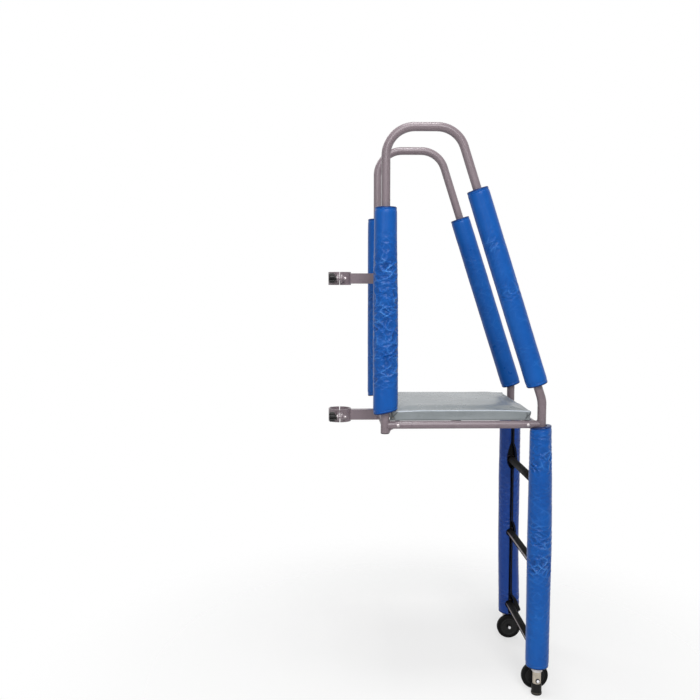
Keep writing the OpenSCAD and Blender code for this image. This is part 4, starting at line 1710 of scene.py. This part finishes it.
@dataclass
class SleeveSet:
    """The six foam sleeves: two each on the front uprights, the sloping rails and the ladder legs."""

    palette: Palette
    lean: float = math.radians(18)
    rail_pad: float = 0.740
    front_pad: float = 0.7385
    leg_top: float = 1.019
    foam: float = 0.0242
    skin_gap: float = 0.0004

    def build(self) -> None:
        """Builds the six sleeves."""
        for side in Side:
            self._front(side)
            self._sloping(side)
            self._leg(side)

    def _sleeve(self, kind: str, side: Side, radius: float, **facts: object) -> None:
        """Builds one sleeve.

        Args:
            kind: The start of its CAD node's name.
            side: The side frame.
            radius: The CAD pad's radius.
            **facts: The sleeve's other fields.
        """
        FoamSleeve(
            name=f"{kind}_{side.word}_cover",
            palette=self.palette,
            radius=radius - self.skin_gap,
            bore=radius - self.foam,
            **facts,
        ).build()

    def _front(self, side: Side) -> None:
        """Builds a front upright's sleeve.

        Args:
            side: The side frame.
        """
        low, high, middle = span(f"front_pad_{side.word}")
        bar = span("upper_crossbar")[2]
        bottom = high.z - self.front_pad
        creased, fuller = (Wrinkles(0.3, 0.2, 0.35),), ()
        if side is Side.NEAR:
            creased = (
                Wrinkles(0.505, 0.055, 1.0), Wrinkles(0.36, 0.11, 1.0), Wrinkles(0.19, 0.09, 0.85),
                Wrinkles(0.36, 0.27, 0.40),
            )
            fuller = (Swelling(0.36, 0.26, 0.0040, 0.0035), Swelling(0.02, 0.34, 0.0025, 0.0060))
        self._sleeve(
            "front_pad",
            side,
            (high.x - low.x) / 2,
            low=Vector((bar.x, middle.y, bottom)),
            up=Vector((0, 0, 1)),
            slit=Vector((0, -side.value, 0)),
            length=self.front_pad,
            eyes=((bar.z - bottom, 0.043),),
            wrinkles=creased,
            swellings=fuller,
            facet=(0.032, 5),
            seed=11 + side.value,
            tilt_low=12.5,
        )

    def _sloping(self, side: Side) -> None:
        """Builds a sloping handrail's sleeve.

        Args:
            side: The side frame.
        """
        low, high, middle = span(f"slant_pad_{side.word}")
        up = Vector((-math.sin(self.lean), 0, math.cos(self.lean)))
        creased, bend_from = (Wrinkles(0.4, 0.3, 0.16),), 0.021
        if side is Side.NEAR:
            creased = (
                Wrinkles(0.535, 0.03, 0.5), Wrinkles(0.365, 0.045, 0.6), Wrinkles(0.12, 0.07, 0.2),
                Wrinkles(0.4, 0.3, 0.12),
            )
            bend_from = 0.0
        self._sleeve(
            "slant_pad",
            side,
            (high.y - low.y) / 2,
            low=middle - up * self.rail_pad / 2,
            up=up,
            slit=Vector((-math.cos(self.lean), 0, -math.sin(self.lean))),
            length=self.rail_pad,
            wrinkles=creased,
            facet=(0.028, 5),
            facet_depth=0.0048,
            seed=31 + side.value,
            bend_from=bend_from,
        )

    def _leg(self, side: Side) -> None:
        """Builds a ladder leg's sleeve, with its tape closing and an eye for each rung.

        Args:
            side: The side frame.
        """
        low, high, _ = span(f"leg_pad_{side.word}")
        leg = span(f"ladder_leg_{side.word}")[2]
        length = self.leg_top - low.z
        rungs = (("lower", 0.046), ("middle", 0.056), ("upper", 0.078))
        if side is Side.NEAR:
            creased = (
                Wrinkles(0.79, 0.065, 0.95), Wrinkles(0.50, 0.055, 0.85), Wrinkles(0.40, 0.05, 1.0),
                Wrinkles(0.885, 0.03, 0.6), Wrinkles(0.45, 0.4, 0.25),
            )
            fuller = (Swelling(length, 0.20, -0.001, -0.0065), Swelling(0.45, 0.2, 0.0015, 0.002))
            closing = {"snug": 0, "slit_half": 0.002, "loose": 0.0, "deep": False}
        else:
            creased = (Wrinkles(0.86, 0.05, 0.7), Wrinkles(0.55, 0.3, 0.4), Wrinkles(0.06, 0.05, 0.6))
            fuller = (Swelling(0.0, 0.22, -0.0050, 0.0085), Swelling(0.6, 0.25, 0.002, 0.001))
            # The far leg's sleeve is deep: it takes the darker vinyl as painted shade
            closing = {"snug": 2, "slit_half": 0.0030, "loose": 0.024, "deep": True}
        self._sleeve(
            "leg_pad",
            side,
            (high.x - low.x) / 2,
            low=Vector((leg.x, leg.y, low.z)),
            up=Vector((0, 0, 1)),
            slit=Vector((0, -side.value, 0)),
            length=length,
            eyes=tuple((span(f"rung_{which}")[2].z - low.z, above) for which, above in rungs),
            wrinkles=creased,
            swellings=fuller,
            facet=(0.025, 6),
            facet_depth=0.0066,
            seed=51 + side.value,
            tilt_high=8.0,
            notches=True,
            tape=0.006,
            **closing,
        )


@dataclass
class DeckCushion:
    """The grey cushion on the platform: foam and vinyl wrapped over the plywood."""

    palette: Palette
    cell: float = 0.0062
    skirt: float = 0.0052
    draw_in: float = 0.0016
    draw_run: float = 0.02
    crown: float = 0.0012
    top_cap: float = 0.0084
    side_cap: float = 0.0022
    edge_rise: float = 0.0388
    mitre: float = 0.018
    corner_reach: float = 0.0052
    corner_droop: float = 0.0034
    ear: float = 0.0072
    crown_reach: float = 0.080
    far_start: float = 0.009
    far_slope: float = 3.2
    side_band: float = 0.0045
    pressure: float = 4.0
    frames: int = 20
    low: Vector = field(init=False)
    high: Vector = field(init=False)

    def __post_init__(self) -> None:
        """Measures the CAD pad whose space the cushion fills."""
        self.low, self.high, _ = span("deck_pad")

    def build(self) -> None:
        """Builds the cushion, swells it, folds its corners and dresses it."""
        obj, held = self._shell()
        self._swell(obj, held)
        fine = obj.modifiers.new("fine", "SUBSURF")
        fine.levels = fine.render_levels = 1
        apply_modifier(obj, fine)
        self._fold(obj)
        self._draw_corners(obj)
        dress(obj, self.palette.grey_vinyl)
        shade_smooth(obj, 62)
        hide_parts("deck_pad")
        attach(obj, "stand")
        LOG.info("deck cushion: %d faces", len(obj.data.polygons))

    def _shell(self) -> tuple[Piece, list[int]]:
        """Lays out the cover: crowned top, drawn-in sides, hem under the edge and the board's pocket.

        Returns:
            The closed shell, and the points that the board holds.
        """
        low, high, rise = self.low, self.high, self.edge_rise
        a, b = (high.x - low.x) / 2, (high.y - low.y) / 2
        centre = Vector(((low.x + high.x) / 2, (low.y + high.y) / 2, low.z))
        pocket = span("deck_board")[1].z - low.z + 0.0004
        profile = [
            (self.skirt, pocket), (self.skirt, 0.0), (0.0016, 0.0), (0.0006, 0.0010), (0.0004, 0.0040),
            (0.0004, 0.0090), (0.0004, 0.0150), (0.0004, 0.0210), (0.0005, 0.0265), (0.0006, 0.0310),
            (0.0009, rise - 0.0052), (0.0016, rise - 0.0030), (0.0030, rise - 0.0012), (0.0056, rise),
        ]
        nx, ny = round(2 * a / self.cell), round(2 * b / self.cell)
        us, vs = np.linspace(-1, 1, nx + 1), np.linspace(-1, 1, ny + 1)
        loop = [(u, -1.0) for u in us[:-1]] + [(1.0, v) for v in vs[:-1]]
        loop += [(u, 1.0) for u in us[::-1][:-1]] + [(-1.0, v) for v in vs[::-1][:-1]]
        points: list[tuple[float, float, float]] = []
        for inset, height in profile:
            pull = self.draw_in * float(smoothstep(height / self.draw_run))
            for u, v in loop:
                x, y = u * (a - inset), v * (b - inset)
                if abs(u) == 1.0:
                    x -= u * pull * (1 - v * v)
                if abs(v) == 1.0:
                    y -= v * pull * (1 - u * u)
                points.append((centre.x + x, centre.y + y, centre.z + height))
        around, top = len(loop), (len(profile) - 1) * len(loop)
        faces: Faces = []
        for k in range(0, top, around):
            for n in range(around):
                c, d = k + n, k + (n + 1) % around
                faces.append((c, d, d + around, c + around))
        held = list(range(4 * around))
        for first, (inset, height), crown in ((0, profile[0], 0.0), (top, profile[-1], self.crown)):
            edge = {point: first + n for n, point in enumerate(loop)}
            number: dict[tuple[int, int], int] = {}
            for i, u in enumerate(us):
                for j, v in enumerate(vs):
                    number[i, j] = edge.get((float(u), float(v)), len(points))
                    if number[i, j] == len(points):
                        lift = height + crown * (1 - u**4) * (1 - v**4)
                        spot = (centre.x + u * (a - inset), centre.y + v * (b - inset), centre.z + lift)
                        points.append(spot)
                        if crown == 0.0:
                            held.append(number[i, j])
            for i in range(nx):
                for j in range(ny):
                    faces.append((number[i, j], number[i + 1, j], number[i + 1, j + 1], number[i, j + 1]))
        obj = mesh_piece("deck_cushion", np.array(points), faces)
        face_outwards(obj)
        return obj, held

    def _to_edges(self, points: np.ndarray) -> tuple[np.ndarray, np.ndarray]:
        """Measures how far points are inside the CAD pad's sides, along X and along Y."""
        x, y = points[:, 0], points[:, 1]
        return np.minimum(x - self.low.x, self.high.x - x), np.minimum(y - self.low.y, self.high.y - y)

    def _swell(self, obj: Piece, held: list[int]) -> None:
        """Lets the vinyl billow by cloth simulation, and caps how far it moves.

        Args:
            obj: The shell.
            held: The points that the board holds.
        """
        before = read_points(obj)
        obj.vertex_groups.new(name="held").add(held, 1.0, "REPLACE")
        cloth = obj.modifiers.new("cloth", "CLOTH")
        cloth.settings.quality = 5
        cloth.settings.use_pressure = True
        cloth.settings.uniform_pressure_force = self.pressure
        cloth.settings.effector_weights.gravity = 0.0
        cloth.settings.vertex_group_mass = "held"
        cloth.point_cache.frame_start = 1
        cloth.point_cache.frame_end = self.frames
        for frame in range(1, self.frames + 1):
            bpy.context.scene.frame_set(frame)
        apply_modifier(obj, cloth)
        bpy.context.scene.frame_set(1)
        move = read_points(obj) - before
        size = np.linalg.norm(move, axis=1)
        LOG.info("deck cushion: the cloth moved %.1f mm at most", size.max() * 1000)
        to_x, to_y = self._to_edges(before)
        rise = before[:, 2] - self.low.z
        far = self.far_start + self.far_slope * (self.high.y - before[:, 1])
        crown = smoothstep(np.minimum.reduce([to_x, before[:, 1] - self.low.y, far]) / self.crown_reach)
        cap = np.where(rise > self.edge_rise - 0.0016, self.top_cap * crown, 0.0)
        bulge = self.side_cap * np.sin(np.clip(rise / self.edge_rise, 0, 1) * math.pi)
        cap = np.maximum(cap, bulge * (np.minimum(to_x, to_y) < 0.004))
        cap[held] = 0.0
        write_points(obj, before + move * np.minimum(1.0, cap / np.maximum(size, 1e-9))[:, None])

    def _draw_corners(self, obj: Piece) -> None:
        """Lets the upper corners reach out and droop, and the clamp side's lower ones stand out like ears.

        Args:
            obj: The cushion.
        """
        low, high = self.low, self.high
        co = read_points(obj)
        lift = ramp(co[:, 2] - low.z, 0.006, 0.026)
        for x in (low.x, high.x):
            for y in (low.y, high.y):
                away = np.hypot(co[:, 0] - x, co[:, 1] - y)
                share = bell(away, 0.030) * lift
                wide = bell(away, 0.065) * lift
                co[:, 0] += share * self.corner_reach * (1 if x == high.x else -0.6)
                co[:, 1] += share * self.corner_reach * 0.6 * (1 if y == high.y else -1)
                if y == low.y:
                    co[:, 2] -= wide * self.corner_droop
                if x == low.x:
                    off_rail = ramp(co[:, 2] - low.z, -0.003, 0.003)
                    co[:, 0] -= bell(away, 0.022) * off_rail * (1 - lift) * self.ear
        write_points(obj, co)

    def _fold(self, obj: Piece) -> None:
        """Presses the folded corners, slack ripples and soft dents into the cover, and paints shade in the
        folds, ripples and hem and a highlight along the top edge.

        Args:
            obj: The cushion.
        """
        low, high, edge = self.low, self.high, self.edge_rise
        co, normal = read_points(obj), read_points(obj, "normal")
        to_x, to_y = self._to_edges(co)
        inset, run = np.minimum(to_x, to_y), np.maximum(to_x, to_y)
        rise = co[:, 2] - low.z
        drop = np.clip(edge - rise, 0, None)
        on_side = ramp(np.hypot(normal[:, 0], normal[:, 1]), 0.6, 0.3)
        on_side = on_side * ramp(rise, 0.001, 0.003) * (inset < self.side_band)

        # The mitred fold at each corner, its flap, a second tuck, and a crossed fold on the clamp side, each
        # with its depth and its painted shade
        line = run - (0.0018 + drop * self.mitre / edge)
        cut = bell(line, 0.0024) * on_side * (run < 0.035)
        flap = smoothstep(-line / 0.003) * on_side
        second = bell(run - (0.021 - drop * 0.30), 0.0022) * on_side * ramp(drop, 0.004, 0.008)
        crossed = bell(run - (0.0018 + (edge - drop) * 0.026 / edge), 0.0024)
        crossed = crossed * on_side * (co[:, 0] < low.x + 0.04)
        folds = ((cut, 0.0024, 0.95), (flap, 0.0009, 0.45), (second, 0.0012, 0.7), (crossed, 0.0020, 0.85))
        depth = -sum(fold * deep for fold, deep, _ in folds)
        crease = np.maximum.reduce([fold * dark for fold, _, dark in folds])

        # Soft dents on the top, ripples along its edge and puckers on the sides
        pattern = Creases(7, co[:, 0] - low.x, (co[:, 1] - low.y) / (high.y - low.y) * 0.5)
        broad, pucker = pattern.hills(0.11, 8), pattern.hills(0.028, 20)
        ripple = pattern.folds(0.03, 14, 3.0)
        top = ramp(normal[:, 2], 0.3, 0.5)
        band = top * bell(inset - 0.012, 0.022)
        lip = bell(rise - 0.032, 0.010) * on_side
        depth += top * ramp(inset, 0.004, 0.03) * 0.0022 * broad
        depth += band * (0.0016 * pucker - 0.0010 * ripple)
        depth += lip * (0.0014 * pucker - 0.0008 * ripple) + on_side * 0.0010 * broad

        # Painted shade along the hem, in the edge ripples and in the tails at the clamp side; painted
        # highlight along the top edge
        hem = 0.5 * on_side * (1 - ramp(rise, 0.002, 0.006))
        tail_shade = (np.hypot(co[:, 0] - low.x, to_y) < 0.016) * (1 - ramp(rise, 0.012, 0.008))
        crease = np.maximum.reduce([crease, 0.12 * band * ripple, hem, 0.85 * tail_shade])
        lit = ramp(rise - edge, -0.0052, 0.0024) * (1 - ramp(inset, 0.004, 0.004))
        hold = ramp(rise, 0.002, 0.004)
        write_points(obj, co + normal * (depth * hold)[:, None])
        # The crease mask carries the painted shade, the ridge mask the painted highlight
        paint_masks(obj, crease=crease, ridge=lit * (0.6 + 0.4 * ripple))


@dataclass(frozen=True)
class Lamp:
    """A square soft light that faces the stand. Its power is in watts."""

    name: str
    place: tuple[float, float, float]
    size: float
    power: float

    def hang(self, aim: Vector) -> None:
        """Hangs the lamp.

        Args:
            aim: The point that it faces.
        """
        data = bpy.data.lights.new(self.name, "AREA")
        data.size = self.size
        data.energy = self.power
        lamp = bpy.data.objects.new(self.name, data)
        lamp.location = self.place
        lamp.rotation_euler = (aim - Vector(self.place)).to_track_quat("-Z", "Y").to_euler()
        bpy.context.scene.collection.objects.link(lamp)


@dataclass
class Studio:
    """The floor, the lamps and the camera. The focal length is in pixels of the photograph's width."""

    eye: Vector = Vector((-0.4081, -3.0562, 1.5247))
    yaw: float = math.radians(1.444)
    pitch: float = math.radians(4.573)
    focal: float = 780.0
    photo_width: float = 700.0
    sensor: float = 36.0
    floor_size: float = 40.0
    floor_tone: Colour = (0.88, 0.88, 0.87)
    floor_fade: tuple[float, float] = (0.55, 1.7)
    floor_glow: float = 0.62
    ambient: float = 0.19
    aim: Vector = Vector((0.0, 0.0, 1.1))
    lamps: tuple[Lamp, ...] = (
        Lamp("key", (0.15, -5.3, 4.6), 2.9, 276.0),
        Lamp("fill", (-2.0, -3.8, 2.0), 1.8, 22.0),
        Lamp("top", (0.0, -0.6, 4.6), 1.1, 62.0),
        Lamp("back", (-2.2, 2.8, 4.2), 1.6, 40.0),
    )

    WHITE = (1.0, 1.0, 1.0, 1.0)

    def build(self) -> None:
        """Sets the whole scene up."""
        self._camera()
        self._floor()
        self._world()
        for lamp in self.lamps:
            lamp.hang(self.aim)
        bpy.context.scene.view_settings.view_transform = "Standard"

    def _camera(self) -> None:
        """Places the camera where the photograph was taken."""
        data = bpy.data.cameras.new("camera")
        data.sensor_width = self.sensor
        data.lens = self.sensor * self.focal / self.photo_width
        camera = bpy.data.objects.new("camera", data)
        camera.location = self.eye
        camera.rotation_euler = (math.pi / 2 - self.pitch, 0.0, -self.yaw)
        bpy.context.scene.collection.objects.link(camera)
        bpy.context.scene.camera = camera

    def _floor(self) -> None:
        """Lays a wide pale floor under the feet. Seen directly, it glows a little and fades out far away."""
        deselect_all()
        bpy.ops.mesh.primitive_plane_add(size=self.floor_size)
        floor = set_in_place(bpy.context.object, "studio_floor")
        finish = Finish("studio_floor", 0.9)
        light = tuple(c * 1.02 for c in self.floor_tone)
        cloud = finish.noise(finish.place, 3.0, 3.0)
        finish.feed("Base Color", finish.mix(cloud, self.floor_tone, light))
        seen = finish.backdrop_rays()
        pale = finish.add("Emission", {"Color": self.WHITE, "Strength": 1.0}).outputs[0]
        glow = finish.maths("MULTIPLY", seen, self.floor_glow)
        lit = finish.blend(glow, finish.shader.outputs[0], pale)
        reach = finish.vectors("LENGTH", finish.place).outputs["Value"]
        fade = finish.spread(reach, *self.floor_fade, interpolation_type="SMOOTHSTEP")
        clear = finish.add("BsdfTransparent").outputs[0]
        whole = finish.blend(finish.maths("MULTIPLY", fade, seen), lit, clear)
        finish.tree.links.new(whole, finish.tree.nodes["Material Output"].inputs["Surface"])
        dress(floor, finish.material)

    def _world(self) -> None:
        """Lights the scene softly all round, and shows white behind it."""
        world = bpy.data.worlds.new("studio")
        bpy.context.scene.world = world
        world.use_nodes = True
        bench = Bench(world.node_tree)
        soft = bench.tree.nodes["Background"]
        soft.inputs["Color"].default_value = (0.95, 0.97, 1.0, 1.0)
        soft.inputs["Strength"].default_value = self.ambient
        white = bench.add("Background", {"Color": self.WHITE, "Strength": 1.0}).outputs[0]
        whole = bench.blend(bench.backdrop_rays(), soft.outputs[0], white)
        bench.tree.links.new(whole, bench.tree.nodes["World Output"].inputs["Surface"])


def main() -> None:
    """Builds the whole scene, in order."""
    logging.basicConfig(level=logging.INFO, format="%(name)s: %(message)s")
    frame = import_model()
    Studio().build()
    palette = Palette()
    PaintedFrame(frame["nodes"], palette).build()
    Hardware(frame["nodes"], palette).build()
    RungGrips(palette).build()
    SleeveSet(palette).build()
    DeckCushion(palette).build()
    deselect_all()


if __name__ == "__main__":
    main()
